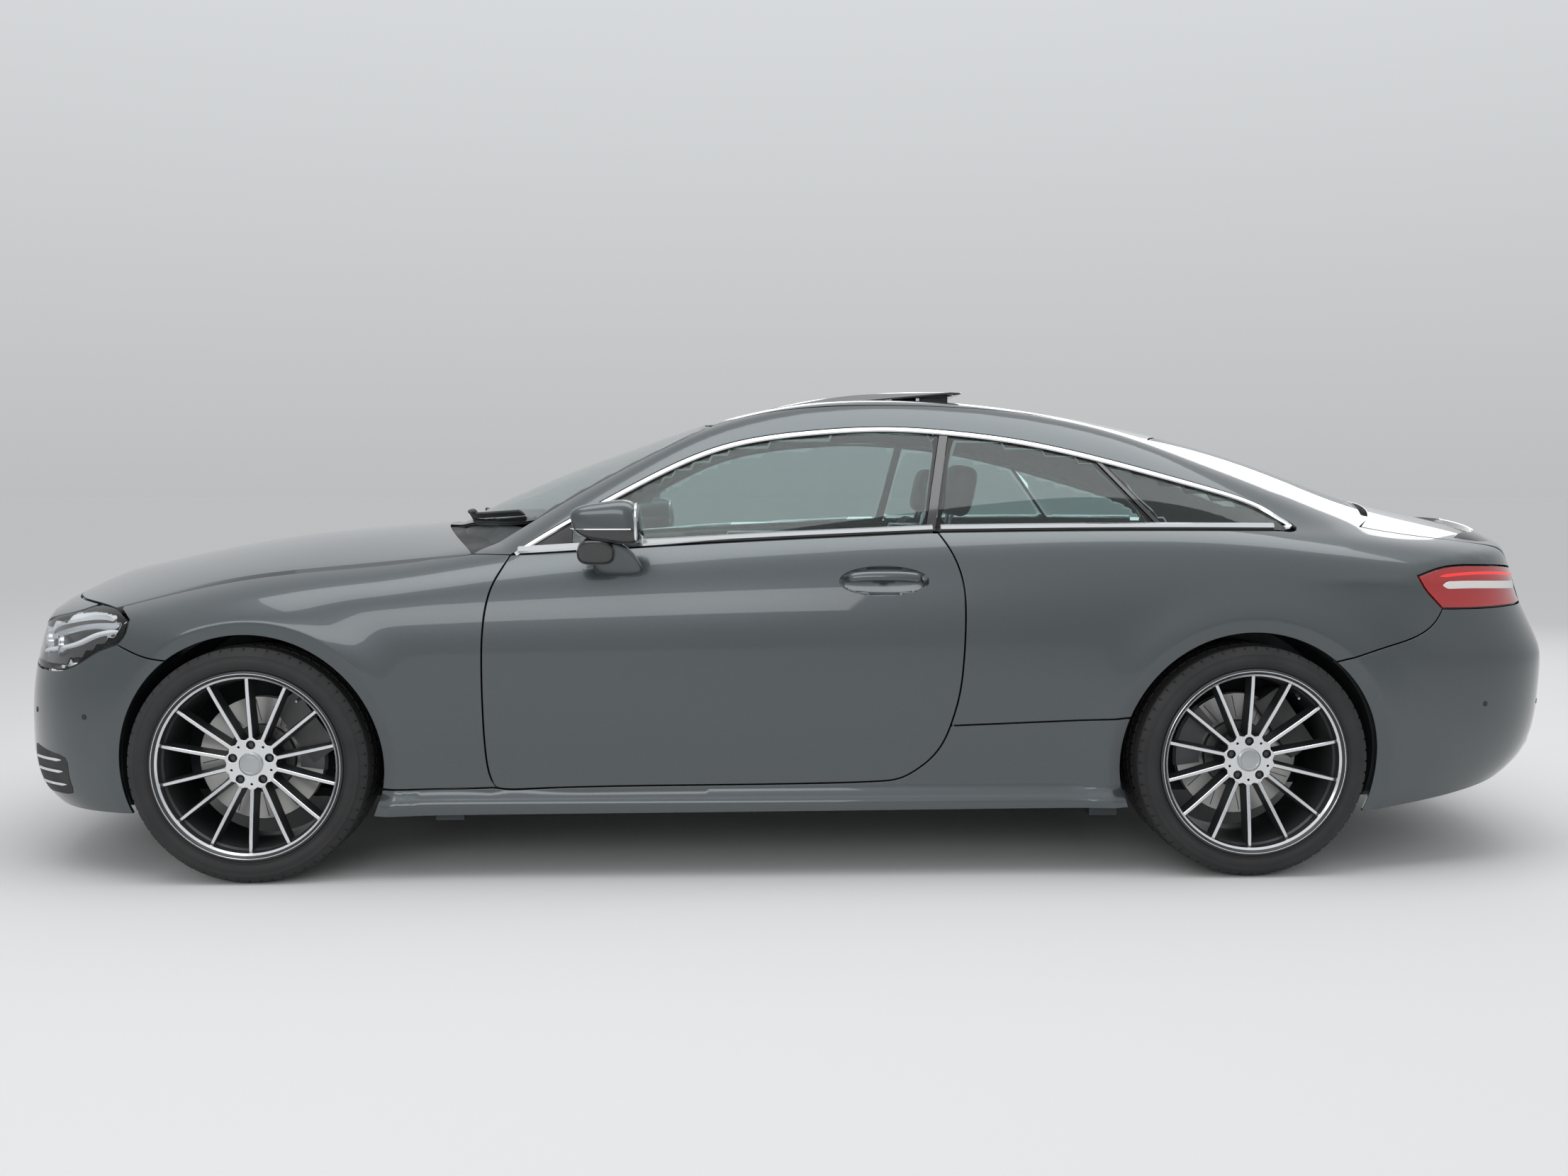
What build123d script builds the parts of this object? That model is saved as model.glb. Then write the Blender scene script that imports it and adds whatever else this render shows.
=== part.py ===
"""Two-door four-seat coupe: a steel body shell with hung doors, bonnet and boot lid, on four road wheels.

Frame: millimetres, +Z up, ground at Z = 0, nose towards -X, the car's left side towards -Y,
origin on the ground at mid-length on the centre plane.
"""

import os
from math import atan2, cos, sin

from build123d import *

os.makedirs("parts", exist_ok=True)

# ---------------------------------------------------------------- driving dimensions
front_overhang = 839
wheelbase = 2873
rear_overhang = 1114
half_width = 930
roof_height = 1418
belt_height_front = 930  # window sill at the door's leading edge
belt_height_rear = 1000  # window sill at the door's trailing edge
belt_inset = 128  # how far the side glass foot stands in from the widest part of the side
door_length = 1372
door_thickness = 144
door_foot_z = 264
boot_foot_z = 700
underside_z = 185
underbody_z = 150
floor_thickness = 40
tunnel_half_width = 150
tunnel_height = 140
rear_pan_height = 120  # the rear seat pan and boot floor above the cabin floor
shell_wall = 38  # pillars and roof rails
panel_stand = 10  # the shell and its glass stand in this far from the hung panels' outer form
skin = 25  # bonnet, wings and lids with their inner frames
glass = 6
panel_gap = 4  # between fixed panels
swing_gap = 6  # round the doors, bonnet and lid
lift_gap = 12  # ahead of and behind the bonnet, which moves lengthwise as it lifts

front_track = 1605
rear_track = 1609
front_tyre_radius = 340
rear_tyre_radius = 337
front_tyre_width = 245
rear_tyre_width = 275
rim_flange_radius = 271
rim_seat_radius = 248
rim_wall = 13
flange_thickness = 8
sidewall_bulge = 13  # each sidewall stands out this far past its bead
spoke_count = 14
hub_radius = 80
stub_radius = 28
bearing_gap = 6
disc_radius = 180
disc_thickness = 36
disc_hat_radius = 100
pad_gap = 6
arch_gap = 37  # from tread to arch lip
front_well_wall = 462  # inner wall of the wheel wells, from the centre plane
rear_well_wall = 640
bay_half_width = 400
wing_flange_y = 775

# ---------------------------------------------------------------- places worked out from them
front_axle_x = (front_overhang - wheelbase - rear_overhang) / 2
rear_axle_x = front_axle_x + wheelbase
nose_x = front_axle_x - front_overhang
tail_x = rear_axle_x + rear_overhang
door_front_x = front_axle_x + 664
door_rear_x = door_front_x + door_length
cabin_half_width = half_width - door_thickness - swing_gap
firewall_x = door_front_x - 130
rear_seat_x = door_rear_x + 828
floor_z = underside_z + floor_thickness
tunnel_z = floor_z + tunnel_height
pan_z = floor_z + rear_pan_height
far = 1200  # cutters reach this far out sideways


def via(x, z):
    """Marks the middle point of an arc in an outline."""
    return ("via", (x, z))


def trace(*stops):
    """Draws a closed outline: straight between plain stops, an arc through each via()."""
    count = len(stops)
    i = 0
    while i < count:
        here, after = stops[i], stops[(i + 1) % count]
        if after[0] == "via":
            ThreePointArc(here, after[1], stops[(i + 2) % count])
            i += 2
        else:
            Line(here, after)
            i += 1


def side_block(*stops, y=(-far, far), grow=0):
    """An outline in the XZ plane, carried across the car from y[0] to y[1]."""
    with BuildPart() as block:
        with BuildSketch(Plane.XZ.offset(-y[1])):
            with BuildLine():
                trace(*stops)
            make_face()
            if grow:
                offset(amount=grow, kind=Kind.INTERSECTION)
        extrude(amount=y[1] - y[0])
    return block.part


def front_block(*stops, x=(-3000, 3000)):
    """An outline in the YZ plane, carried along the car from x[0] to x[1]."""
    with BuildPart() as block:
        with BuildSketch(Plane.YZ.offset(x[0])):
            with BuildLine():
                trace(*stops)
            make_face()
        extrude(amount=x[1] - x[0])
    return block.part


def plan_block(*stops, z=(0, 2000)):
    """An outline in the XY plane, carried up from z[0] to z[1]."""
    with BuildPart() as block:
        with BuildSketch(Plane.XY.offset(z[0])):
            with BuildLine():
                trace(*stops)
            make_face()
        extrude(amount=z[1] - z[0])
    return block.part


def box(x, y, z):
    """A block between two corners, given as ranges."""
    with BuildPart() as block:
        with Locations(((x[0] + x[1]) / 2, (y[0] + y[1]) / 2, (z[0] + z[1]) / 2)):
            Box(x[1] - x[0], y[1] - y[0], z[1] - z[0])
    return block.part


def moved(part, x=0, y=0, z=0):
    return part.moved(Location((x, y, z)))


def belt_z(x):
    """Height of the window sill at x."""
    front, rear = door_front_x + 68, door_rear_x - 70
    return belt_height_front + (belt_height_rear - belt_height_front) * (x - front) / (rear - front)


def both_sides(part):
    return part + part.mirror(Plane.XZ)


# ---------------------------------------------------------------- the body's outer form
# Lower body. Columns: x; inset and height of the sill's edge; inset and height of the widest
# point; inset and height of the shoulder; height of the centre line. Insets are from half_width.
lower_sections = [
    (nose_x - 20, 110, underside_z - 25, 78, 450, 200, 690, 768),
    (front_axle_x - 426, 55, underside_z - 5, 28, 530, 155, 775, 910),
    (front_axle_x, 40, underside_z, 5, 600, 132, 850, 976),
    (door_front_x + 75, 45, underside_z, 6, 645, 96, belt_height_front + 22, 1008),
    (door_front_x + 650, 45, underside_z, 6, 648, 90, belt_height_front + 52, 1008),
    (door_rear_x - 50, 45, underside_z, 5, 650, 92, belt_height_rear + 22, 1030),
    (rear_axle_x, 40, underside_z, 0, 660, 105, belt_height_rear + 8, 1034),
    (rear_axle_x + 551, 60, underside_z + 5, 20, 685, 150, 940, 1042),
    (tail_x + 20, 140, underside_z + 75, 95, 690, 235, 850, 997),
]
shoulder_radius = 45
sill_radius = 30


def round_down(widest, end):
    """Middle of the arc that leaves the widest point upright and runs in to the end point."""
    run, rise = widest[0] - end[0], end[1] - widest[1]
    radius = (run * run + rise * rise) / (2 * run)
    half_turn = atan2(rise, radius - run) / 2
    return (widest[0] - radius + radius * cos(half_turn), widest[1] + radius * sin(half_turn))


def lower_form(inset):
    """The body below the windows, lofted along the car, before the nose and tail are shaped."""
    edge = half_width - inset
    with BuildPart() as form:
        for x, sill_in, sill_z, side_in, side_z, top_in, top_z, crown_z in lower_sections:
            widest = (edge - side_in, side_z)
            sill = (edge - sill_in, sill_z + inset)
            top = (edge - top_in, top_z - inset)
            under, over = round_down(widest, sill), round_down(widest, top)
            with BuildSketch(Plane.YZ.offset(x)) as section:
                with BuildLine():
                    trace(
                        (-sill[0], sill[1]), sill, via(*under), widest, via(*over), top,
                        via(0, crown_z - inset), (-top[0], top[1]), via(-over[0], over[1]),
                        (-widest[0], side_z), via(-under[0], under[1]),
                    )
                make_face()
                fillet([v for v in section.vertices() if v.Y > side_z + 1], shoulder_radius)
                fillet([v for v in section.vertices() if v.Y < sill[1] + 1], sill_radius)
        loft()
    return form.part


def nose_and_tail(inset):
    """What the body's plan view and side view leave of the lower form."""
    nose, tail = nose_x + inset, tail_x - inset
    edge = half_width + 60
    plan = plan_block(
        (nose + 75, -600), via(nose, 0), (nose + 75, 600),
        via(nose + 213, 750), (nose + 433, 870), (nose + 700, edge),
        (tail - 700, edge), (tail - 463, 885),
        via(tail - 213, 755), (tail - 63, 560), via(tail, 0), (tail - 63, -560),
        via(tail - 213, -755), (tail - 463, -885), (tail - 700, -edge),
        (nose + 700, -edge), (nose + 433, -870), via(nose + 213, -750),
    )
    profile = side_block(
        (nose + 200, 150), (nose + 30, 235), via(nose, 400), (nose + 22, 620), (nose + 75, 775),
        (nose + 75, 1250), (tail - 160, 1250), (tail - 160, 1012), (tail - 90, 800), (tail, 625),
        via(tail - 8, 480), (tail - 70, 290), (tail - 330, 150),
    )
    return plan & profile


def roof_form(inset):
    """Windscreen, roof and rear window as one vault, lofted across the car, inset all round."""
    # Columns: y; how far the screens' feet stand back; the drop of the roof from its crown.
    ribs = [(-860, 265, 125), (-400, 62, 26), (0, 0, 0), (400, 62, 26), (860, 265, 125)]
    foot_z = 870
    base_x, head_x = front_axle_x + 400, front_axle_x + 1284
    tail_head_x, tail_base_x = rear_axle_x - 190, rear_axle_x + 590
    with BuildPart() as form:
        for y, back, drop in ribs:
            top = roof_height - inset - drop
            front = base_x + back + inset
            rear = tail_base_x - back - inset
            with BuildSketch(Plane.XZ.offset(-y)):
                with BuildLine():
                    trace(
                        (front - 130, foot_z),
                        (front, 972 - drop / 3),
                        via((front + head_x) / 2, 1186 - drop * 0.6 - inset * 0.7),
                        (head_x, 1352 - drop * 0.9 - inset),
                        via(front_axle_x + 1874, top),
                        (tail_head_x, 1345 - drop * 0.95 - inset),
                        via((tail_head_x + rear) / 2 + 50, 1214 - drop * 0.8 - inset * 0.8),
                        (rear, 1036 - drop * 0.5 - inset * 0.4),
                        (rear, foot_z),
                    )
                make_face()
        loft()
    return form.part


def side_lean(inset):
    """The leaning sides of the upper body with their round roof rails."""
    # Columns: x; inset of the glass foot from half_width; further inset of the roof rail.
    leans = [
        (front_axle_x + 290, 0, 235), (door_front_x + 300, 0, 226), (door_rear_x - 150, 0, 214),
        (rear_axle_x - 60, 8, 224), (rear_axle_x + 330, 44, 262), (rear_axle_x + 800, 127, 330),
    ]
    low_z, foot_z, rail_z, top_z = 860, 960, 1300, 1500
    with BuildPart() as form:
        for x, foot_in, rail_in in leans:
            foot = half_width - belt_inset - foot_in - inset
            rail = foot - rail_in
            low = foot + rail_in * (foot_z - low_z) / (rail_z - foot_z)
            with BuildSketch(Plane.YZ.offset(x)):
                with BuildLine():
                    trace(
                        (-low, low_z), (low, low_z), (rail, rail_z),
                        via(rail - 62, rail_z + 70 - inset / 4), (rail - 160, rail_z + 120 - inset / 2),
                        (rail - 160, top_z), (160 - rail, top_z), (160 - rail, rail_z + 120 - inset / 2),
                        via(62 - rail, rail_z + 70 - inset / 4), (-rail, rail_z),
                    )
                make_face()
        loft()
    return form.part


lower = lower_form(0) & nose_and_tail(0)
lower_core = lower_form(panel_stand) & nose_and_tail(panel_stand)
lower_clear = lower_form(skin + swing_gap) & nose_and_tail(skin + swing_gap)
crust = lower - (lower_form(skin) & nose_and_tail(skin))
upper = roof_form(panel_stand) & side_lean(panel_stand)
upper_inside = roof_form(panel_stand + shell_wall) & side_lean(panel_stand + shell_wall)


# ---------------------------------------------------------------- where the panels meet
def outboard(y):
    """Everything further out than y on both sides."""
    return both_sides(box((-3000, 3000), (y, far), (0, 2000)))


def door_zone(gap):
    """Side view of the door below the window sill, grown by a gap."""
    front, rear, foot = door_front_x, door_rear_x, door_foot_z
    zone = side_block(
        (front + 60, belt_height_front + 80), (front + 60, belt_height_front - 20), (front + 24, 843),
        via(front, 640), (front + 12, foot + 46), (front + 40, foot), (rear - 232, foot + 14),
        via(rear - 92, foot + 66), (rear - 30, 457), via(rear + 2, 740), (rear - 18, 909),
        (rear - 66, belt_height_rear + 2), (rear - 66, belt_height_rear + 80),
        grow=gap,
    )
    return zone & outboard(cabin_half_width - 40)


def above_belt():
    """Everything higher than the window sill line."""
    a, b, c = nose_x, door_rear_x - 70, tail_x
    return side_block((a, belt_z(a)), (b, belt_z(b)), (c, belt_z(b)), (c, 2000), (a, 2000))


b_post_x = door_rear_x - 50  # the post between the side windows, at mid-height
b_post_width = 26
b_post_lean = 59  # how much further back its head is than its foot


def door_window(gap):
    """Side view of the door's window, reaching below the sill, grown by a gap."""
    foot, head = b_post_x - b_post_width / 2 - b_post_lean / 2, b_post_x - b_post_width / 2 + b_post_lean / 2
    return side_block(
        (door_front_x + 68, 860), (door_front_x + 68, belt_height_front + 4),
        via(door_front_x + 350, 1104), (door_front_x + 610, 1232),
        via(door_front_x + 850, 1290), (door_front_x + 1160, 1312), (head, 1303),
        (foot, belt_height_rear), (foot - 29, 860),
        grow=gap,
    )


def quarter_window(gap):
    """Side view of the fixed window behind the door, reaching below the sill, grown by a gap."""
    foot, head = b_post_x + b_post_width / 2 - b_post_lean / 2, b_post_x + b_post_width / 2 + b_post_lean / 2
    return side_block(
        (foot - 20, 880), (foot, belt_height_rear), (head, 1301),
        via(door_rear_x + 435, 1225), (rear_axle_x + 91, 1073), (rear_axle_x + 150, belt_height_rear + 2),
        (rear_axle_x + 150, 880),
        grow=gap,
    )


def windscreen_zone():
    """Front view of the windscreen, carried back through the body."""
    return front_block(
        (-700, 1016), (700, 1016), (692, 1060), (538, 1322), (400, 1338), (-400, 1338), (-538, 1322),
        (-692, 1060), x=(nose_x + 900, front_axle_x + 1420),
    )


def rear_window_zone():
    """Rear view of the rear window, carried forward through the body."""
    return front_block(
        (-525, 1062), (525, 1062), (475, 1278), (380, 1296), (-380, 1296), (-475, 1278),
        x=(rear_axle_x - 250, tail_x - 300),
    )


roof_opening_x = (front_axle_x + 1460, front_axle_x + 2110)
roof_opening_half = 420
roof_opening = box(roof_opening_x, (-roof_opening_half, roof_opening_half), (1250, 1500))


def bonnet_zone(gap, side_gap):
    """Plan of the bonnet above the wings, drawn in by the gaps."""
    half = wing_flange_y - side_gap
    front_corner, front_centre = front_axle_x - 411 + gap, nose_x + 88 + gap
    rear_corner, rear_centre = door_front_x - 50 - gap, door_front_x - 250 - gap
    return plan_block(
        (rear_corner, -half), via(rear_centre, 0), (rear_corner, half),
        (front_corner, half), via(front_centre, 0), (front_corner, -half),
        z=(560, 1200),
    )


def lid_zone(gap):
    """The boot lid: its top runs wider than its back, which stands between the tail lamps."""
    top, back, step = 690 - gap, 620 - gap, 886 + gap
    rear_view = front_block(
        (-top, 1200), (-top, step), (-back, step), (-back, boot_foot_z + gap), (back, boot_foot_z + gap),
        (back, step), (top, step), (top, 1200), x=(1000, 3000),
    )
    lead = plan_block(
        (rear_axle_x + 401 + gap, -far), (rear_axle_x + 401 + gap, -700), via(rear_axle_x + 608 + gap, 0),
        (rear_axle_x + 401 + gap, 700), (rear_axle_x + 401 + gap, far), (3000, far), (3000, -far),
    )
    return rear_view & lead


# Side views that fixed panels share; their edges are straight, so neighbours meet on flat faces.
wing_front = [
    (front_axle_x - 374, 681), (front_axle_x - 352, 742), (front_axle_x - 411, 782), (front_axle_x - 411, 1200),
]
wing_zone = side_block(
    (front_axle_x, front_tyre_radius), (front_axle_x - 219, 636), *wing_front,
    (door_front_x - swing_gap, 1200), (door_front_x - swing_gap, door_foot_z - 2), (front_axle_x + 300, door_foot_z - 2),
)
front_bumper_zone = side_block(
    (nose_x - 50, 100), (front_axle_x, 100), (front_axle_x, front_tyre_radius), (front_axle_x - 219, 636),
    *wing_front, (nose_x - 50, 1200),
)
headlamp_zone = side_block(
    (front_axle_x - 352, 742), (front_axle_x - 411, 782), (front_axle_x - 500, 790), (nose_x - 50, 760),
    (nose_x - 50, 600), (front_axle_x - 606, 586), (front_axle_x - 510, 620), (front_axle_x - 410, 686),
)
rear_bumper_zone = side_block(
    (rear_axle_x, 100), (rear_axle_x, rear_tyre_radius), (rear_axle_x + 248, 639), (rear_axle_x + 502, 706),
    (rear_axle_x + 570, 772), (tail_x + 50, 772), (tail_x + 50, 100),
)
tail_lamp_zone = side_block(
    (rear_axle_x + 487, 871), (rear_axle_x + 581, 896), (rear_axle_x + 770, 896), (tail_x + 50, 880),
    (tail_x + 50, 772), (rear_axle_x + 570, 772),
)
tail_lamp_room = tail_lamp_zone - plan_block(
    (rear_axle_x + 300, -800), (rear_axle_x + 487, -800), (rear_axle_x + 581, -765), (rear_axle_x + 770, -665),
    (tail_x - 163, -560), (tail_x - 73, -540), (tail_x - 73, 540), (tail_x - 163, 560), (rear_axle_x + 770, 665),
    (rear_axle_x + 581, 765), (rear_axle_x + 487, 800), (rear_axle_x + 300, 800), z=(700, 1000),
)
grille_zone = front_block(
    (-300, 735), (-430, 600), (-360, 440), (360, 440), (430, 600), (300, 735), x=(nose_x - 50, nose_x + 200),
)
intake_zone = front_block(
    (-560, 380), (-640, 330), (-600, 262), (600, 262), (640, 330), (560, 380), x=(nose_x - 50, nose_x + 350),
)


def wheel_wells():
    with BuildPart() as wells:
        for x, radius, wall in (
            (front_axle_x, front_tyre_radius, front_well_wall), (rear_axle_x, rear_tyre_radius, rear_well_wall),
        ):
            for side in (-1, 1):
                with Locations(Location((x, side * (wall + far) / 2, radius), (90, 0, 0))):
                    Cylinder(radius + arch_gap, far - wall)
    return wells.part


wells = wheel_wells()


def save(part, name):
    part.label = name
    export_step(part, f"parts/{name}.step")


# ---------------------------------------------------------------- body panels
bonnet = crust & bonnet_zone(lift_gap, swing_gap)
save(bonnet, "bonnet")

wing_flange = lower & wing_zone & both_sides(box((nose_x, door_front_x), (wing_flange_y, wing_flange_y + skin), (770, 1100)))
front_wings = (crust & wing_zone & outboard(wing_flange_y)) + wing_flange - wells
save(front_wings, "front_wings")

lamp_band = outboard(470)
headlamps = crust & headlamp_zone & lamp_band
headlamps -= bonnet_zone(0, 0)
save(headlamps, "headlamps")

front_bumper = crust & front_bumper_zone
front_bumper -= [
    bonnet_zone(0, 0), headlamp_zone & lamp_band, grille_zone, intake_zone, wells,
    box((nose_x + 260, front_axle_x), (-700, 700), (0, 400)),
]
save(front_bumper, "front_bumper")


def grille_bars():
    """The radiator grille's bars and the lower intake's fins. Columns: half width; height; thickness."""
    with BuildPart() as bars:
        for half, z, thick in (
            (430, 712, 10), (430, 665, 10), (430, 588, 34), (430, 512, 10), (430, 465, 10), (640, 300, 10), (640, 345, 10),
        ):
            with Locations((nose_x + 100, 0, z)):
                Box(300, 2 * half, thick)
        for y in range(-560, 600, 160):
            with Locations((nose_x + 100, y, 321)):
                Box(300, 10, 118)
        for y in (-240, -80, 80, 240):
            with Locations((nose_x + 100, y, 588)):
                Box(300, 10, 294)
    return bars.part


grille = crust & (grille_zone + intake_zone) & grille_bars()
save(grille, "grille")

tip_half_width, tip_half_height, tip_y, tip_z = 75, 38, 590, 318
tip_openings = both_sides(
    box((tail_x - 200, tail_x + 50), (tip_y - tip_half_width, tip_y + tip_half_width),
        (tip_z - tip_half_height, tip_z + tip_half_height))
)
plate_recess = box((tail_x - 13, tail_x + 50), (-262, 262), (500, 615))
plate_hole_spacing, plate_hole_radius = 178, 3.5
plate_holes = both_sides(
    Pos(tail_x - 20, plate_hole_spacing / 2, 585) * Rot(0, 90, 0) * Cylinder(plate_hole_radius, 40)
)
rear_bumper = crust & rear_bumper_zone
rear_bumper -= [
    lid_zone(0), wells, tip_openings, box((rear_axle_x, rear_axle_x + 850), (-700, 700), (0, 400)),
    plate_recess, plate_holes,
]
save(rear_bumper, "rear_bumper")

tail_lamps = (lower & tail_lamp_room) - lid_zone(0)
save(tail_lamps, "tail_lamps")

boot_lid = crust & lid_zone(swing_gap)
boot_lamp_zone = both_sides(box((rear_axle_x + 500, tail_x + 50), (430, 640), (790, 876)))
boot_lamps = boot_lid & boot_lamp_zone
boot_lid -= boot_lamp_zone
save(boot_lid, "boot_lid")
save(boot_lamps, "boot_lamps")

# ---------------------------------------------------------------- body shell
cabin_floor_box = box((firewall_x, door_rear_x + 438), (-cabin_half_width, cabin_half_width), (floor_z, 900))
rear_pan_box = box((door_rear_x + 400, rear_seat_x), (-600, 600), (pan_z, 900))
tunnel = box((firewall_x - 50, rear_seat_x + 50), (-tunnel_half_width, tunnel_half_width), (0, tunnel_z))
upper_void = upper_inside & side_block(
    (firewall_x - 20, 880), (rear_seat_x, 880), (rear_seat_x, 935), (2500, 935), (2500, 1500), (firewall_x - 20, 1500),
)
boot_void = box((rear_seat_x + 40, tail_x - 370), (-600, 600), (pan_z, 900)) + box(
    (tail_x - 400, tail_x - 90), (-480, 480), (pan_z, 900)
)
boot_mouth = lid_zone(40) & box((rear_seat_x, 3000), (-600, 600), (boot_foot_z + 20, 1200))
engine_bay = box((nose_x + 170, firewall_x - 40), (-bay_half_width, bay_half_width), (0, 1200))
bonnet_room = bonnet_zone(0, 0) - lower_clear
wing_room = wing_zone & outboard(wing_flange_y)
bumper_rooms = ((front_bumper_zone + rear_bumper_zone) - lower_clear) + tail_lamp_room
lid_room = lid_zone(0) - lower_clear
nose_room = box((nose_x - 50, front_axle_x - 420), (-far, far), (0, 1200)) - box(
    (nose_x + 120, front_axle_x - 400), (-640, 640), (400, 560)
)
rear_underside = box((rear_axle_x - 340, rear_axle_x + 800), (-600, 600), (0, pan_z - floor_thickness))
tip_tunnels = both_sides(
    box((tail_x - 370, tail_x + 50), (tip_y - tip_half_width - 10, tip_y + tip_half_width + 10),
        (tip_z - tip_half_height - 10, tip_z + tip_half_height + 10))
)
tunnel_underside = box((firewall_x - 120, rear_axle_x), (-110, 110), (0, tunnel_z - 20))

jack_pad_y, jack_pad_depth = half_width - 85, 13
with BuildPart() as shell:
    add(lower_core)
    add(upper)
    for x in (front_axle_x + 560, rear_axle_x - 420):
        for side in (-1, 1):
            with Locations((x, side * jack_pad_y, underside_z - jack_pad_depth / 2 + 10)):
                Box(80, 50, jack_pad_depth + 20)
    add(
        [
            cabin_floor_box - tunnel, rear_pan_box - tunnel, upper_void, boot_void, boot_mouth, engine_bay,
            nose_room, wells, rear_underside, tunnel_underside, tip_tunnels, wing_room,
        ],
        mode=Mode.SUBTRACT,
    )
    add([bonnet_room, bumper_rooms, lid_room], mode=Mode.SUBTRACT)
    add(
        [
            door_zone(swing_gap), door_window(0) & above_belt(), quarter_window(0) & above_belt(),
            windscreen_zone(), rear_window_zone(), roof_opening,
        ],
        mode=Mode.SUBTRACT,
    )
# The shell is made of a cell between the firewall and the rear bulkhead, a floor pan and a frame at each end.
frame_joint = 60  # from the firewall and the bulkhead to where the end frames start
front_frame_room = box((nose_x - 50, firewall_x - frame_joint), (-far, far), (-50, 2000))
rear_frame_room = box((rear_seat_x + frame_joint, tail_x + 50), (-far, far), (-50, 2000))
floor_pan_room = box((firewall_x + 10, door_rear_x + 390), (10 - cabin_half_width, cabin_half_width - 10), (-50, tunnel_z + 5))
save(shell.part & front_frame_room, "front_frame")
save(shell.part & rear_frame_room, "rear_frame")
save(shell.part & floor_pan_room, "floor_pan")
save(shell.part - front_frame_room - rear_frame_room - floor_pan_room, "body_shell")

# ---------------------------------------------------------------- glass and roof panel
windscreen = (upper - moved(upper, x=glass, z=-glass)) & windscreen_zone()
save(windscreen, "windscreen")

rear_window = (upper - moved(upper, x=-glass, z=-glass)) & rear_window_zone()
save(rear_window, "rear_window")


def side_glass(zone):
    """A pane of the left side's glass, standing on the window sill line."""
    left = box((-3000, 3000), (-far, 0), (0, 2000))
    return (upper - moved(upper, y=glass + 1)) & zone & above_belt() & left


quarter_left = side_glass(quarter_window(-panel_gap))
quarter_windows = both_sides(quarter_left)
save(quarter_windows, "quarter_windows")

roof_tilt = 3.7  # degrees that the glass roof panel's rear edge stands up
panel_flat = (upper - moved(upper, z=-glass)) & box(
    (roof_opening_x[0] + swing_gap, roof_opening_x[1] - 20),
    (swing_gap - roof_opening_half, roof_opening_half - swing_gap), (1300, 1500),
)
panel_pivot = Pos(roof_opening_x[0], 0, roof_height - 10)
panel_raised = panel_pivot * Rot(0, -roof_tilt, 0) * panel_pivot.inverse() * panel_flat
roof_arms = both_sides(
    box((roof_opening_x[1] - 110, roof_opening_x[1] - 60), (roof_opening_half - 24, roof_opening_half), (1346, 1414))
)
roof_panel = panel_raised + roof_arms
save(roof_panel, "roof_panel")

# ---------------------------------------------------------------- doors
door_top = side_block(
    (door_front_x - 200, 0), (door_rear_x + 200, 0), (door_rear_x + 200, belt_z(door_rear_x + 200)),
    (door_front_x - 200, belt_z(door_front_x - 200)),
)
door_skins = lower_core & door_zone(0) & door_top & outboard(cabin_half_width + swing_gap)
handle_x, handle_z, handle_length = door_rear_x - 230, 862, 228
handles = both_sides(
    box((handle_x - handle_length / 2, handle_x + handle_length / 2), (half_width - 62, half_width - 12),
        (handle_z - 13, handle_z + 13))
)
doors = door_skins + handles
door_left = doors & box((-3000, 3000), (-far, 0), (0, 2000))
door_right = doors & box((-3000, 3000), (0, far), (0, 2000))
save(door_left, "door_left")
save(door_right, "door_right")

door_glass = side_glass(door_window(-swing_gap))
save(door_glass, "door_glass_left")
save(door_glass.mirror(Plane.XZ), "door_glass_right")

mirror_x, mirror_z = door_front_x + 354, 998  # middle of the mirror head
mirror_length, mirror_height = 190, 178
mirror_inner_y, mirror_outer_y = half_width - 44, half_width + 78


def mirror_left():
    """Mirror head on a foot that stands on the door's top face, outside the glass."""
    foot_z = belt_z(mirror_x)
    foot = front_block(
        (-828, foot_z - 20), (-814, foot_z - 20), (-814, foot_z + 8), (-850, foot_z + 44), (-940, foot_z + 44),
        (-940, foot_z + 18), (-860, foot_z + 14), (-828, foot_z + 2), x=(mirror_x - 50, mirror_x + 50),
    )
    with BuildPart() as head:
        with BuildSketch(Plane.XZ.offset(mirror_inner_y)):
            with BuildLine():
                trace(
                    (mirror_x - mirror_length / 2, mirror_z - 40), via(mirror_x - 70, mirror_z - 78),
                    (mirror_x - 20, mirror_z - mirror_height / 2), (mirror_x + mirror_length / 2, mirror_z - 70),
                    (mirror_x + mirror_length / 2, mirror_z + 76), (mirror_x + 20, mirror_z + mirror_height / 2),
                    via(mirror_x - 72, mirror_z + 50),
                )
            make_face()
        extrude(amount=mirror_outer_y - mirror_inner_y)
        fillet(head.edges().group_by(Axis.Y)[0], 24)
    return (foot & above_belt()) + head.part


mirror = mirror_left()
save(mirror, "mirror_left")
save(mirror.mirror(Plane.XZ), "mirror_right")

# ---------------------------------------------------------------- cabin
dashboard_x = firewall_x + 400
dashboard = side_block(
    (firewall_x, 560), (firewall_x, 868), (firewall_x + 140, 905), (dashboard_x - 60, 935),
    (dashboard_x, 890), (dashboard_x, 740), (dashboard_x - 90, 600),
    y=(-700, 700),
)
save(dashboard, "dashboard")

console = box((dashboard_x - 60, dashboard_x + 900), (-140, 140), (tunnel_z, tunnel_z + 165)) - dashboard
save(console, "centre_console")

seat_y = 385
with BuildPart() as steering_wheel:
    with Locations(Pos(dashboard_x + 150, -seat_y, 868) * Rot(0, 65, 0)):
        Torus(178, 15)
        Cylinder(55, 34)
        Box(30, 340, 14)
        with Locations((88, 0, 0)):
            Box(176, 34, 14)
        with Locations((0, 0, -130)):
            Cylinder(32, 240)
    add(dashboard, mode=Mode.SUBTRACT)
save(steering_wheel.part, "steering_wheel")


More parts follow.
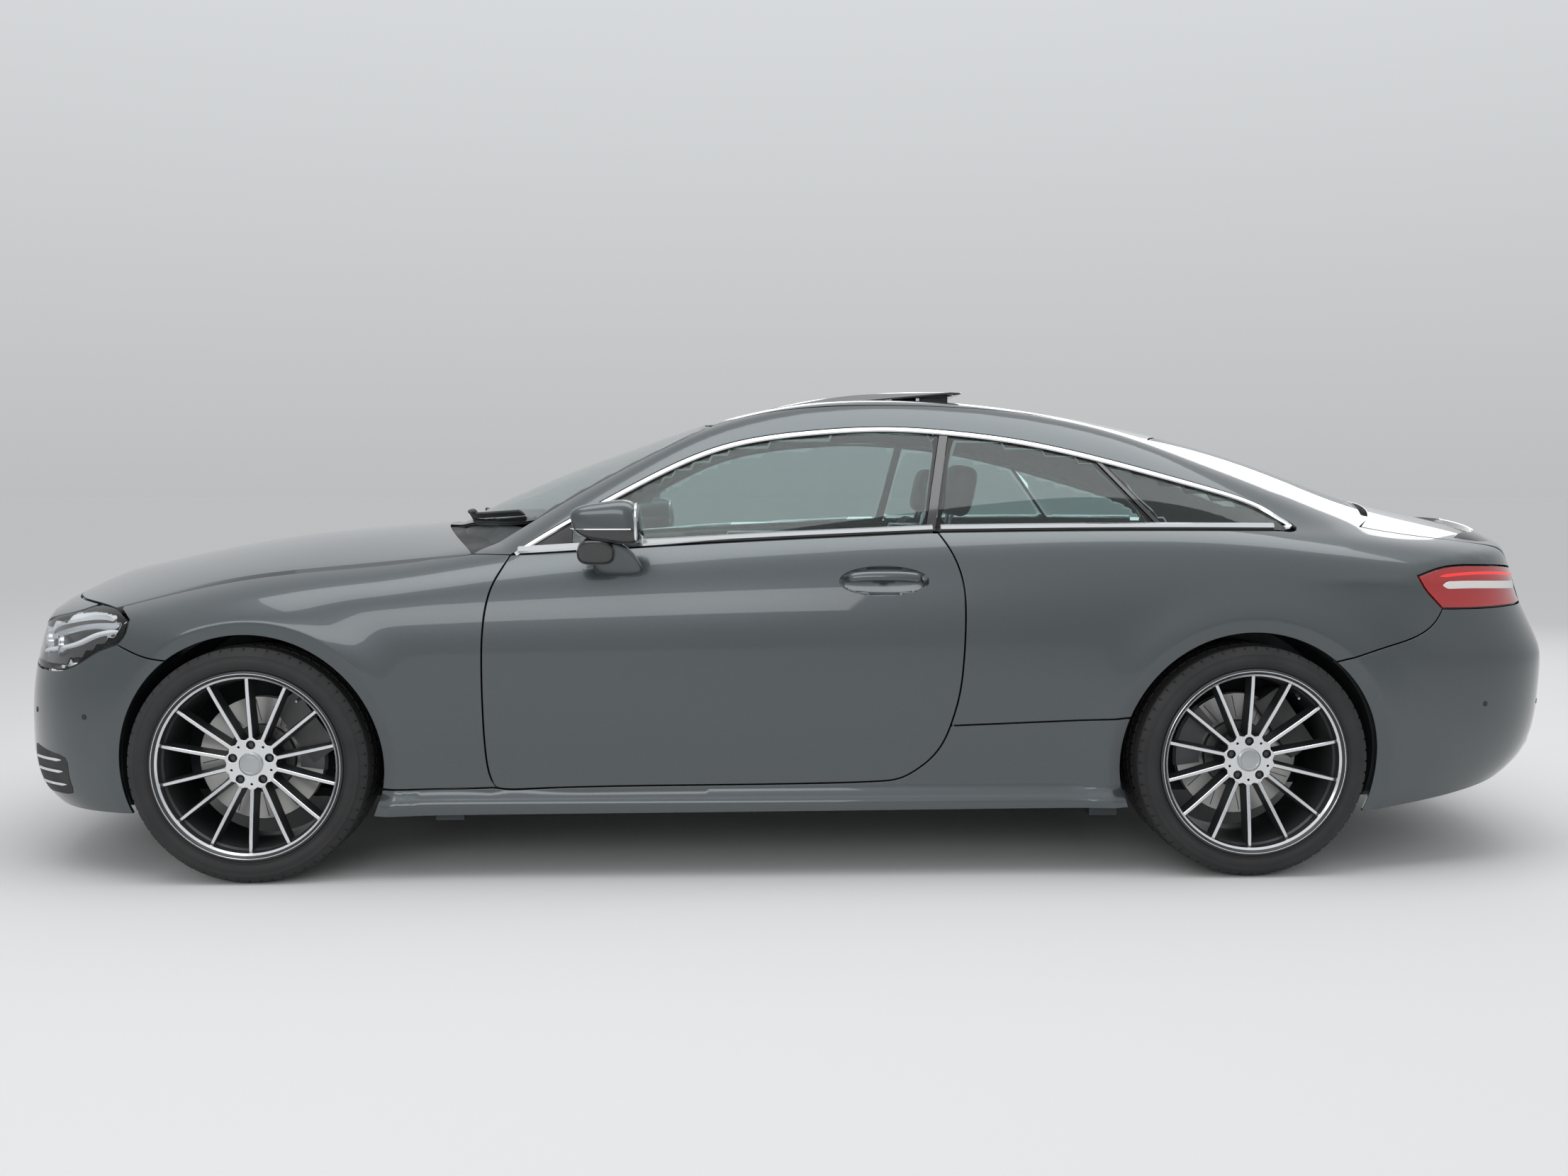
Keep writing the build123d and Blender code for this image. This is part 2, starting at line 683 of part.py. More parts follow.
def pad(x, y, z, lean, length, width, height, edge):
    """A cushion with rounded edges, centred at x, y, z and leaning back by some degrees."""
    with BuildPart() as cushion:
        with Locations(Pos(x, y, z) * Rot(0, lean, 0)):
            Box(length, width, height)
        fillet(cushion.edges(), edge)
    return cushion.part


seat_x = door_front_x + 925  # middle of the front seats' cushions
with BuildPart() as front_seats:
    for side in (-1, 1):
        with Locations((seat_x, side * seat_y, (floor_z + 330) / 2)):
            Box(420, 360, 330 - floor_z)
        with Locations(Pos(seat_x + 492, side * seat_y, 1030) * Rot(0, 14, 0)):
            Box(14, 160, 120)
        add(pad(seat_x + 10, side * seat_y, 405, -6, 530, 450, 160, 34))
        add(pad(seat_x + 350, side * seat_y, 717, 22, 130, 450, 640, 34))
        add(pad(seat_x + 508, side * seat_y, 1130, 12, 90, 250, 180, 30))
save(front_seats.part, "front_seats")

rear_cushion_x = door_rear_x + 178
with BuildPart() as rear_seat:
    for side in (-1, 1):
        with Locations((rear_cushion_x + 105, side * 355, (floor_z + 430) / 2)):
            Box(210, 390, 430 - floor_z)
        add(pad(rear_cushion_x + 210, side * 355, 450, 0, 430, 450, 150, 34))
        add(pad(rear_cushion_x + 479, side * 355, 674, 20, 120, 450, 520, 34))
    with Locations((rear_cushion_x + 330, 0, (tunnel_z + 500) / 2)):
        Box(200, 1150, 500 - tunnel_z)
save(rear_seat.part, "rear_seat")

# ---------------------------------------------------------------- engine and underbody
subframe_top = 262
tray_top = underside_z - 9
with BuildPart() as front_subframe:
    with Locations((front_axle_x, 0, (subframe_top + tray_top) / 2)):
        Box(150, 2 * bay_half_width, subframe_top - tray_top)
    for side in (-1, 1):
        with Locations((front_axle_x, side * (front_well_wall + 75), 215)):
            Box(52, 150, 34)
save(front_subframe.part, "front_subframe")

engine = box((front_axle_x - 215, front_axle_x + 435), (-265, 265), (subframe_top, subframe_top + 590))
save(engine, "engine_block")

undertray = box((nose_x + 260, rear_axle_x - 360), (-440, 440), (underbody_z, tray_top))
save(undertray, "undertray")

boot_underside = pan_z - floor_thickness
with BuildPart() as rear_subframe:
    with Locations((rear_axle_x, 0, boot_underside - 50)):
        Box(180, 1200, 100)
    with Locations((rear_axle_x, 0, boot_underside - 60)):
        Cylinder(85, 260, rotation=(90, 0, 0))
    with Locations((rear_axle_x, 0, boot_underside + 50)):
        Box(400, 1200, 100, mode=Mode.SUBTRACT)
save(rear_subframe.part, "rear_subframe")

with BuildPart() as exhaust:
    with Locations((rear_axle_x + 640, 0, boot_underside - 60)):
        Box(300, 1060, 120)
    for side in (-1, 1):
        with Locations((rear_axle_x + 925, side * tip_y, tip_z)):
            Box(330, 2 * tip_half_width, 2 * tip_half_height)
        with Locations((rear_axle_x + 1020, side * tip_y, tip_z)):
            Box(160, 2 * tip_half_width - 12, 2 * tip_half_height - 12, mode=Mode.SUBTRACT)
        with Locations((rear_axle_x + 765, side * 500, boot_underside - 30)):
            Box(60, 90, 60)
# The tips end flush with the rear bumper.
save(exhaust.part & lower, "exhaust")

# ---------------------------------------------------------------- wheels
# Each corner. Columns: name; axle x; half track; tyre radius; tyre width; side; inboard reach of the carrier.
corners = [
    ("front_left", front_axle_x, front_track / 2, front_tyre_radius, front_tyre_width, -1, 150),
    ("front_right", front_axle_x, front_track / 2, front_tyre_radius, front_tyre_width, 1, 150),
    ("rear_left", rear_axle_x, rear_track / 2, rear_tyre_radius, rear_tyre_width, -1, rear_track / 2 - rear_well_wall),
    ("rear_right", rear_axle_x, rear_track / 2, rear_tyre_radius, rear_tyre_width, 1, rear_track / 2 - rear_well_wall),
]


def tyre(radius, width):
    """Tyre turned about its axle, local Z outboard."""
    bead = width / 2 - sidewall_bulge
    wall_r = (rim_flange_radius + radius) / 2 - 6
    with BuildPart() as body:
        with BuildSketch(Plane.XZ):
            with BuildLine():
                trace(
                    (rim_seat_radius + 2, -bead), (rim_flange_radius - 3, -bead), (rim_flange_radius + 2, -bead - 6),
                    via(wall_r, -width / 2), (radius - 14, 10 - width / 2),
                    (radius, 40 - width / 2), (radius, width / 2 - 40), (radius - 14, width / 2 - 10),
                    via(wall_r, width / 2), (rim_flange_radius + 2, bead + 6), (rim_flange_radius - 3, bead),
                    (rim_seat_radius + 2, bead),
                )
            make_face()
        revolve(axis=Axis.Z)
    return body.part


def rim(width):
    """Rim with barrel, flanges, hub and spokes, local Z outboard."""
    bead = width / 2 - sidewall_bulge
    spoke_z, spoke_reach = bead - 34, rim_seat_radius - rim_wall
    with BuildPart() as body:
        Cylinder(rim_seat_radius, 2 * bead + 2)
        for end in (-1, 1):
            with Locations((0, 0, end * (bead + flange_thickness / 2))):
                Cylinder(rim_flange_radius - 3, flange_thickness)
        Cylinder(spoke_reach, 2 * width, mode=Mode.SUBTRACT)
        with PolarLocations(spoke_reach / 2 + 10, spoke_count):
            with Locations((0, 0, spoke_z)):
                Box(spoke_reach - 10, 20, 26)
        with Locations((0, 0, (spoke_z + 20) / 2)):
            Cylinder(hub_radius, spoke_z + 20)
        with Locations((0, 0, (spoke_z - 10) / 2)):
            Cylinder(stub_radius + bearing_gap, spoke_z - 10, mode=Mode.SUBTRACT)
    return body.part


disc_depth = 57  # the disc's inboard face, from the hub's inner face


def disc():
    """Brake disc with its hat, which bolts to the hub's inner face."""
    with BuildPart() as body:
        with Locations((0, 0, disc_thickness / 2 - disc_depth)):
            Cylinder(disc_radius, disc_thickness)
        with Locations((0, 0, -disc_depth / 2)):
            Cylinder(disc_hat_radius, disc_depth)
        with Locations((0, 0, -disc_depth / 2 - 5)):
            Cylinder(disc_hat_radius - 12, disc_depth - 10, mode=Mode.SUBTRACT)
        with Locations((0, 0, -disc_depth / 2)):
            Cylinder(stub_radius + bearing_gap, disc_depth, mode=Mode.SUBTRACT)
    return body.part


caliper_angle = 35  # degrees above the horizontal, on the side behind the axle
carrier_z = -disc_depth - 28  # middle of the hub carrier


def knuckle(turn, reach):
    """Hub carrier with its stub axle, brake caliper and inboard arm, local Z outboard."""
    caliper_z = disc_thickness / 2 - disc_depth
    with BuildPart() as body:
        with Locations(Pos(0, 0, caliper_z) * Rot(0, 0, turn) * Pos(165, 0, 0)):
            Box(84, 200, disc_thickness + 60)
        with Locations((0, 0, caliper_z)):
            Cylinder(rim_seat_radius - rim_wall - pad_gap, 400, mode=Mode.INTERSECT)
            Cylinder(disc_radius + pad_gap, disc_thickness + 2 * pad_gap, mode=Mode.SUBTRACT)
        with Locations((0, 0, carrier_z)):
            Cylinder(72, 34)
        with Locations(Pos(0, 0, carrier_z) * Rot(0, 0, turn) * Pos(110, 0, 0)):
            Box(140, 60, 24)
        with Locations((0, 0, carrier_z + 70)):
            Cylinder(stub_radius, 140)
        with Locations((0, 0, (carrier_z - reach) / 2)):
            Box(70, 70, reach + carrier_z)
    return body.part


for name, x, half_track, radius, width, side, reach in corners:
    place = Plane(origin=(x, side * half_track, radius), x_dir=(1, 0, 0), z_dir=(0, side, 0)).location
    save(place * tyre(radius, width), f"tyre_{name}")
    save(place * rim(width), f"rim_{name}")
    save(place * disc(), f"brake_disc_{name}")
    save(place * knuckle(-side * caliper_angle, reach), f"knuckle_{name}")
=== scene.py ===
import math

import bmesh
import bpy
import numpy as np
from mathutils import Matrix, Vector, geometry


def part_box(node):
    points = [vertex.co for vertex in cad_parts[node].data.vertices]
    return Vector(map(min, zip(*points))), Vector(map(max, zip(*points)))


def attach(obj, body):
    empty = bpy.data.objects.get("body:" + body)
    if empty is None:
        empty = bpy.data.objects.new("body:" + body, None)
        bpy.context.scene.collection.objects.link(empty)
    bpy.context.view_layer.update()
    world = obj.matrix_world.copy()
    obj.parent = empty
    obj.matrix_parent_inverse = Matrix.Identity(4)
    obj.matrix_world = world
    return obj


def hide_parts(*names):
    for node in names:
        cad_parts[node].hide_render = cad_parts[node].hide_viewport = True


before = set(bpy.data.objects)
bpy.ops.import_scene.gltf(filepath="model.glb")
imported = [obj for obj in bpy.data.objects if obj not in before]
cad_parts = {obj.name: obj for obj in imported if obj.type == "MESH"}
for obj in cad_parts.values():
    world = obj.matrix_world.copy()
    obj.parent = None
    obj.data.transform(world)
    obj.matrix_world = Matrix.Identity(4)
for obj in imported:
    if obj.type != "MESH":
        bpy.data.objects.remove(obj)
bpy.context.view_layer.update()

# ------------------------------------------------------------------ places read from the frame


def middle(node):
    low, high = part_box(node)
    return (Vector(low) + Vector(high)) / 2


FRONT_AXLE = middle("tyre_front_left").x
REAR_AXLE = middle("tyre_rear_left").x
NOSE = -2.413
TAIL = 2.413
ARCH_LIP = 0.375
ARCH_CREST = 0.415
WHEELS = {
    "front_left": (middle("tyre_front_left"), 0.340, 0.245, -1),
    "front_right": (middle("tyre_front_right"), 0.340, 0.245, 1),
    "rear_left": (middle("tyre_rear_left"), 0.337, 0.275, -1),
    "rear_right": (middle("tyre_rear_right"), 0.337, 0.275, 1),
}
ARCHES = [(FRONT_AXLE, 0.335), (REAR_AXLE, 0.333)]

# ------------------------------------------------------------------ curves and blends


class Spline:
    """Natural cubic through (position, value) pairs, held straight beyond both ends."""

    def __init__(self, *pairs):
        self.x = np.array([p[0] for p in pairs], float)
        self.y = np.array([p[1] for p in pairs], float)
        x, y = self.x, self.y
        n = len(x)
        h = np.diff(x)
        a = np.zeros((n, n))
        b = np.zeros(n)
        a[0, 0] = a[-1, -1] = 1
        for i in range(1, n - 1):
            a[i, i - 1], a[i, i], a[i, i + 1] = h[i - 1], 2 * (h[i - 1] + h[i]), h[i]
            b[i] = 6 * ((y[i + 1] - y[i]) / h[i] - (y[i] - y[i - 1]) / h[i - 1])
        self.m = np.linalg.solve(a, b)

    def __call__(self, t):
        x, y, m = self.x, self.y, self.m
        t = np.asarray(t, float)
        i = np.clip(np.searchsorted(x, t) - 1, 0, len(x) - 2)
        h = x[i + 1] - x[i]
        a, b = (x[i + 1] - t) / h, (t - x[i]) / h
        inside = a * y[i] + b * y[i + 1] + ((a**3 - a) * m[i] + (b**3 - b) * m[i + 1]) * h * h / 6
        h0, h1 = x[1] - x[0], x[-1] - x[-2]
        s0 = (y[1] - y[0]) / h0 - h0 * m[1] / 6
        s1 = (y[-1] - y[-2]) / h1 + h1 * m[-2] / 6
        out = np.where(t < x[0], y[0] + s0 * (t - x[0]), inside)
        return np.where(t > x[-1], y[-1] + s1 * (t - x[-1]), out)


def larger(a, b, k):
    """The larger of two fields, blended over a width k."""
    h = np.maximum(k - np.abs(a - b), 0) / k
    return np.maximum(a, b) + h * h * h * k / 6


def smaller(a, b, k):
    return -larger(-a, -b, k)


# ------------------------------------------------------------------ the body's form: a field below 0 inside
side_width = Spline((-2.45, 0.855), (-2.1, 0.885), (-1.85, 0.908), (-1.574, 0.922), (-1.1, 0.921),
                    (-0.3, 0.923), (0.5, 0.925), (1.0, 0.928), (1.3, 0.930), (1.7, 0.925), (2.0, 0.905),
                    (2.4, 0.862))
belt_line = Spline((-2.2, 0.735), (-1.9, 0.80), (-1.6, 0.858), (-1.2, 0.905), (-0.84, 0.932), (0.39, 0.998),
                   (1.3, 1.006), (1.7, 0.985), (2.0, 0.955), (2.3, 0.92))
side_profile = Spline((0.10, 0.075), (0.185, 0.052), (0.27, 0.044), (0.35, 0.034), (0.45, 0.019),
                      (0.55, 0.009), (0.65, 0.005), (0.75, 0.010), (0.85, 0.031), (0.92, 0.063),
                      (0.965, 0.098), (1.02, 0.165), (1.1, 0.30))
low_crown = Spline((-2.45, 0.745), (-2.36, 0.792), (-2.278, 0.832), (-2.1, 0.884), (-1.9, 0.928),
                   (-1.7, 0.963), (-1.4, 0.996), (-1.1, 1.016), (-0.8, 1.035), (0.0, 1.07), (1.0, 1.07),
                   (1.6, 1.062), (1.85, 1.056), (2.0, 1.044), (2.15, 1.022), (2.25, 1.0), (2.45, 0.955))
low_drop = Spline((-2.4, 0.12), (-2.0, 0.132), (-1.6, 0.118), (-1.2, 0.112), (-0.9, 0.085), (-0.5, 0.05),
                  (0.4, 0.04), (1.3, 0.05), (1.7, 0.095), (2.0, 0.11), (2.3, 0.12))
nose_plan = Spline((0.0, 0.0), (0.30, 0.013), (0.50, 0.053), (0.65, 0.123), (0.75, 0.213), (0.82, 0.325),
                   (0.87, 0.45))
tail_plan = Spline((0.0, 0.0), (0.30, 0.013), (0.50, 0.048), (0.65, 0.118), (0.75, 0.205), (0.83, 0.35),
                   (0.88, 0.50))
nose_profile = Spline((0.12, 0.20), (0.17, 0.10), (0.22, 0.040), (0.28, 0.010), (0.38, 0.0), (0.50, 0.003),
                      (0.60, 0.018), (0.70, 0.045), (0.78, 0.085), (0.86, 0.17))
tail_low = Spline((0.12, 0.34), (0.20, 0.19), (0.29, 0.072), (0.38, 0.022), (0.48, 0.006), (0.60, 0.0),
                  (0.70, 0.002))
tail_high = Spline((0.50, -0.02), (0.62, 0.0), (0.70, 0.035), (0.80, 0.085), (0.90, 0.118), (1.0, 0.150),
                   (1.1, 0.19))

roof_crown = Spline((-1.30, 0.925), (-1.16, 0.992), (-1.05, 1.052), (-0.9, 1.122), (-0.732, 1.192),
                    (-0.5, 1.275), (-0.288, 1.345), (-0.12, 1.384), (0.05, 1.409), (0.25, 1.419),
                    (0.5, 1.413), (0.787, 1.385), (1.094, 1.334), (1.395, 1.264), (1.6, 1.198), (1.8, 1.120),
                    (1.966, 1.052), (2.2, 0.95))
roof_drop = Spline((-1.1, 0.060), (-0.87, 0.050), (-0.5, 0.031), (-0.28, 0.019), (0.0, 0.013), (0.3, 0.013),
                   (0.7, 0.019), (1.0, 0.030), (1.26, 0.048), (1.56, 0.058), (1.9, 0.058))
glass_foot = Spline((-1.25, 0.755), (-1.0, 0.786), (-0.8, 0.803), (0.0, 0.812), (0.5, 0.812), (1.1, 0.803),
                    (1.5, 0.778), (1.9, 0.728), (2.1, 0.69))
glass_lean = Spline((-1.2, 0.70), (-0.8, 0.67), (0.0, 0.635), (0.5, 0.63), (1.1, 0.67), (1.5, 0.78),
                    (1.9, 0.95))


def haunch_blend(x):
    return np.interp(x, (1.0, 1.35, 1.6), (0.012, 0.04, 0.12))


def arch_swell(x, z):
    """How far the side stands out round the wheel arches, with a crest and a sloping band down to the lip."""
    total = 0
    for ax, az in ARCHES:
        r = np.hypot(x - ax, z - az)
        out = np.exp(-(((r - ARCH_CREST) / 0.075) ** 2)) * 0.012
        band = 0.012 - (ARCH_CREST - r) * 0.33
        step = 0.5 + 0.5 * np.tanh((r - ARCH_CREST) / 0.010)
        total = total + np.where(z > -1, step * out + (1 - step) * np.maximum(band, -0.004), 0)
    return total


def skirt(x, z):
    """How far the sill stands out below the doors."""
    along = np.clip((x + 1.30) / 0.06, 0, 1) * np.clip((1.04 - x) / 0.06, 0, 1)
    t = np.clip((0.263 - z) / 0.045, 0, 1)
    return 0.026 * along * t * t * (3 - 2 * t)


def low_field(p):
    x, y, z = p[:, 0], np.abs(p[:, 1]), p[:, 2]
    zz = np.where(z > 0.6, 0.6 + (z - 0.6) * 0.365 / np.maximum(belt_line(x) - 0.6, 0.1), z)
    side = y - (side_width(x) - side_profile(zz) + arch_swell(x, z) + skirt(x, z))
    top = z - (low_crown(x) - np.maximum(low_drop(x), 0.03) * (y / 0.8) ** 2.2)
    body = larger(side, top, 0.10)
    nose = (NOSE + nose_plan(y) + nose_profile(z) - x) / 1.15
    high = (x - (TAIL - tail_plan(y) - tail_high(z))) / 1.1
    low = (x - (TAIL - tail_plan(y) - tail_low(z))) / 1.1
    tail = larger(high, low, 0.012)
    body = larger(body, nose, 0.07)
    body = larger(body, tail, 0.045)
    return larger(body, 0.150 - z, 0.03)


def up_field(p):
    x, y, z = p[:, 0], np.abs(p[:, 1]), p[:, 2]
    t = (z - 0.96) / 0.35
    side = (y - (glass_foot(x) - glass_lean(x) * (z - 0.96) + 0.020 * t * (1 - t))) * 0.84
    top = (z - (roof_crown(x) - roof_drop(x) * (y / 0.4) ** 2)) * 0.92
    cabin = larger(side, top, 0.085)
    return np.maximum(cabin, np.maximum(0.90 - z, x - 2.15))


def all_field(p):
    return smaller(low_field(p), up_field(p), np.maximum(haunch_blend(p[:, 0]), 0.012))


def gradient(field, p):
    g = np.zeros_like(p)
    for axis in range(3):
        step = np.zeros(3)
        step[axis] = 0.0008
        g[:, axis] = field(p + step) - field(p - step)
    return g / np.maximum(np.linalg.norm(g, axis=1), 1e-12)[:, None]


# ------------------------------------------------------------------ ways of looking at the form
# A view turns a point into flat coordinates in metres, and flat coordinates into a ray from outside.


class Flat:
    """Parallel rays that come in along -out."""

    def __init__(self, u, v, out, start):
        self.u, self.v, self.out, self.start = (np.array(a, float) for a in (u, v, out, start))
        self.reach = 2.2

    def to2d(self, p):
        return np.stack([p @ self.u, p @ self.v], 1)

    def ray(self, uv):
        origin = uv[:, :1] * self.u + uv[:, 1:] * self.v + self.out * self.start
        return origin, np.broadcast_to(-self.out, origin.shape)


class Wrap:
    """Rays that come in to an upright axis at x = centre, for the nose (way -1) and the tail (way 1)."""

    def __init__(self, centre, way):
        self.centre, self.way, self.scale, self.reach = centre, way, 0.9, 1.6

    def to2d(self, p):
        angle = np.arctan2(p[:, 1], (p[:, 0] - self.centre) * self.way)
        return np.stack([angle * self.scale, p[:, 2]], 1)

    def ray(self, uv):
        a = uv[:, 0] / self.scale
        way = np.stack([np.cos(a) * self.way, np.sin(a), np.zeros_like(a)], 1)
        origin = np.stack([np.full_like(a, self.centre), np.zeros_like(a), uv[:, 1]], 1) + way * 1.7
        return origin, -way


SLANT = math.radians(28)
SIDE = Flat((1, 0, 0), (0, 0, 1), (0, -1, 0), 1.6)
SHOULDER = Flat((1, 0, 0), (0, math.sin(SLANT), math.cos(SLANT)), (0, -math.cos(SLANT), math.sin(SLANT)), 1.9)
TOP = Flat((1, 0, 0), (0, 1, 0), (0, 0, 1), 2.0)
FRONT = Wrap(-1.45, -1)
REAR = Wrap(1.45, 1)


def land(view, uv, field=all_field):
    """Where each ray first meets the form."""
    uv = np.atleast_2d(np.asarray(uv, float))
    origin, way = view.ray(uv)
    steps = np.linspace(0, view.reach, 60)
    before = np.zeros(len(uv))
    after = np.full(len(uv), view.reach)
    found = np.zeros(len(uv), bool)
    for a, b in zip(steps[:-1], steps[1:]):
        hit = ~found
        if not hit.any():
            break
        inside = field(origin[hit] + way[hit] * b) < 0
        index = np.nonzero(hit)[0][inside]
        before[index], after[index], found[index] = a, b, True
    for _ in range(26):
        mid = (before + after) / 2
        inside = field(origin + way * mid[:, None]) < 0
        after = np.where(inside, mid, after)
        before = np.where(inside, before, mid)
    return origin + way * after[:, None]


def round_through(points, spacing=0.012, closed=False):
    """Flat points joined by a smooth curve."""
    p = np.array(points, float)
    if len(p) == 2:
        n = max(2, int(np.linalg.norm(p[1] - p[0]) / spacing) + 1)
        return p[0] + (p[1] - p[0]) * np.linspace(0, 1, n)[:, None]
    if closed:
        p = np.vstack([p, p[:1]])
    t = np.concatenate([[0], np.cumsum(np.linalg.norm(np.diff(p, axis=0), axis=1) ** 0.7)])
    if closed:
        wide = np.concatenate([t[-4:-1] - t[-1], t, t[1:4] + t[-1]])
        q = np.vstack([p[-4:-1], p, p[1:4]])
    else:
        wide, q = t, p
    curves = [Spline(*zip(wide, q[:, i])) for i in range(p.shape[1])]
    fine = np.linspace(0, t[-1], 400)
    pts = np.stack([c(fine) for c in curves], 1)
    length = np.concatenate([[0], np.cumsum(np.linalg.norm(np.diff(pts, axis=0), axis=1))])
    n = max(3, int(length[-1] / spacing) + 1)
    at = np.interp(np.linspace(0, length[-1], n), length, fine)
    return np.stack([c(at) for c in curves], 1)


def arc(cx, cy, r, a0, a1, spacing=0.012):
    n = max(3, int(abs(math.radians(a1 - a0)) * r / spacing) + 1)
    a = np.radians(np.linspace(a0, a1, n))
    return np.stack([cx + r * np.cos(a), cy + r * np.sin(a)], 1)


def on(view, points, field=all_field):
    """A smooth curve through flat points, laid on the form."""
    return land(view, round_through(points), field)


def join(*runs):
    """One closed outline from runs of points, without doubled corners."""
    out = []
    for run in runs:
        for p in run:
            if not out or np.linalg.norm(out[-1] - p) > 0.0015:
                out.append(np.asarray(p, float))
    if np.linalg.norm(out[0] - out[-1]) < 0.0015:
        out.pop()
    return np.array(out)


def mirrored(run):
    return (run * [1, -1, 1])[::-1]


# ------------------------------------------------------------------ meshes
def linked(name, data):
    """A new object in the scene that shows some data."""
    obj = bpy.data.objects.new(name, data)
    bpy.context.scene.collection.objects.link(obj)
    return obj


def mesh_object(name, verts, faces, material, normals=None):
    mesh = bpy.data.meshes.new(name)
    mesh.from_pydata([tuple(v) for v in verts], [], [tuple(int(i) for i in f) for f in faces])
    mesh.validate()
    mesh.update()
    mesh.polygons.foreach_set("use_smooth", [True] * len(mesh.polygons))
    if normals is not None and len(normals) == len(mesh.vertices):
        mesh.normals_split_custom_set_from_vertices([tuple(n) for n in normals])
    obj = linked(name, mesh)
    mesh.materials.append(material)
    return obj


def flipped(obj, name):
    """The same piece on the car's other side."""
    mesh = obj.data
    n = len(mesh.vertices)
    co = np.empty(n * 3)
    mesh.vertices.foreach_get("co", co)
    co = co.reshape(-1, 3) * [1, -1, 1]
    faces = [tuple(reversed(p.vertices)) for p in mesh.polygons]
    normals = None
    if mesh.has_custom_normals:
        normals = np.zeros((n, 3))
        for loop, corner in zip(mesh.loops, mesh.corner_normals):
            normals[loop.vertex_index] = corner.vector
        normals = normals * [1, -1, 1]
    other = mesh_object(name, co, faces, mesh.materials[0], normals)
    for m in mesh.materials[1:]:
        other.data.materials.append(m)
    for a, b in zip(mesh.polygons, other.data.polygons):
        b.material_index = a.material_index
        b.use_smooth = a.use_smooth
    return other


def joined(name, *objs):
    """Several pieces made one mesh, with their finishes kept."""
    bpy.ops.object.select_all(action="DESELECT")
    for o in objs:
        o.select_set(True)
    bpy.context.view_layer.objects.active = objs[0]
    bpy.ops.object.join()
    objs[0].name = objs[0].data.name = name
    return objs[0]


def offset_loop(loop, amount):
    """A closed flat loop moved to its left by an amount."""
    ahead, behind = np.roll(loop, -1, 0) - loop, loop - np.roll(loop, 1, 0)
    ahead /= np.maximum(np.linalg.norm(ahead, axis=1), 1e-9)[:, None]
    behind /= np.maximum(np.linalg.norm(behind, axis=1), 1e-9)[:, None]
    left = np.stack([-(ahead[:, 1] + behind[:, 1]), ahead[:, 0] + behind[:, 0]], 1)
    left /= np.maximum(np.linalg.norm(left, axis=1), 1e-9)[:, None]
    turn = np.clip((1 + (ahead * behind).sum(1)) / 2, 0.25, 1)
    return loop + left * (amount / np.sqrt(turn))[:, None]


def area(loop):
    x, y = loop[:, 0], loop[:, 1]
    return 0.5 * np.sum(x * np.roll(y, -1) - y * np.roll(x, -1))


def inside_loop(points, loop):
    x, y = points[:, 0], points[:, 1]
    hit = np.zeros(len(points), bool)
    for (x0, y0), (x1, y1) in zip(loop, np.roll(loop, -1, 0)):
        cross = (y0 > y) != (y1 > y)
        if cross.any():
            hit[cross] ^= x[cross] < (x1 - x0) * (y[cross] - y0) / (y1 - y0) + x0
    return hit


def near_loop(points, loop, reach):
    close = np.zeros(len(points), bool)
    for a, b in zip(loop, np.roll(loop, -1, 0)):
        d = b - a
        t = np.clip(((points - a) @ d) / max(d @ d, 1e-12), 0, 1)
        close |= np.linalg.norm(points - (a + t[:, None] * d), axis=1) < reach
    return close


def knots(loop):
    """Which points of a closed flat loop lie on a small knot, where it crosses itself."""
    n = len(loop)
    along = np.roll(loop, -1, 0) - loop
    on_knot = np.zeros(n, bool)
    for i in range(n):
        between = loop - loop[i]
        across = along[i, 0] * along[:, 1] - along[i, 1] * along[:, 0]
        across = np.where(np.abs(across) < 1e-15, 1e-15, across)
        t = (between[:, 0] * along[:, 1] - between[:, 1] * along[:, 0]) / across
        u = (between[:, 0] * along[i, 1] - between[:, 1] * along[i, 0]) / across
        hit = (t > -1e-6) & (t < 1 + 1e-6) & (u > -1e-6) & (u < 1 + 1e-6)
        hit[[i, (i + 1) % n, (i - 1) % n]] = False
        for j in np.nonzero(hit)[0]:
            ahead = (j - i) % n
            if 0 < ahead < n / 2:
                on_knot[(i + 1 + np.arange(ahead)) % n] = True
    return on_knot


def uncrossed(outer, inner):
    """Two matching loops without the points where the inner one doubles back or crosses itself."""
    for _ in range(6):
        a, b = np.roll(outer, -1, 0) - outer, np.roll(inner, -1, 0) - inner
        back = ((a * b).sum(1) <= 0.15 * (a * a).sum(1)) | knots(inner)
        if not back.any():
            break
        outer, inner = outer[~back], inner[~back]
    return outer, inner


def arch_rows(view):
    """Rows of flat points round the wheel arches, closest across their crest."""
    radii = (0.384, 0.392, 0.400, 0.406, 0.411, 0.415, 0.419, 0.424, 0.431, 0.441, 0.454, 0.470)
    rows = np.vstack([land(SIDE, arc(ax, az, r, -25, 205)) for ax, az in ARCHES for r in radii])
    if isinstance(view, Wrap):
        rows = np.vstack([rows, rows * [1, -1, 1]])
    return view.to2d(rows)


def edge_loops(view, runs, gap, edge):
    """Flat loops drawn in by half a shut line, and where their rolled edges start."""
    loops, tops = [], []
    for i, run in enumerate(runs):
        flat = view.to2d(run)
        if (area(flat) > 0) == (i > 0):
            flat = flat[::-1]
        loop = uncrossed(flat, offset_loop(flat, gap))[1] if gap else flat
        loop, top = uncrossed(loop, offset_loop(loop, edge))
        loops.append(loop)
        tops.append(top)
    return loops, tops


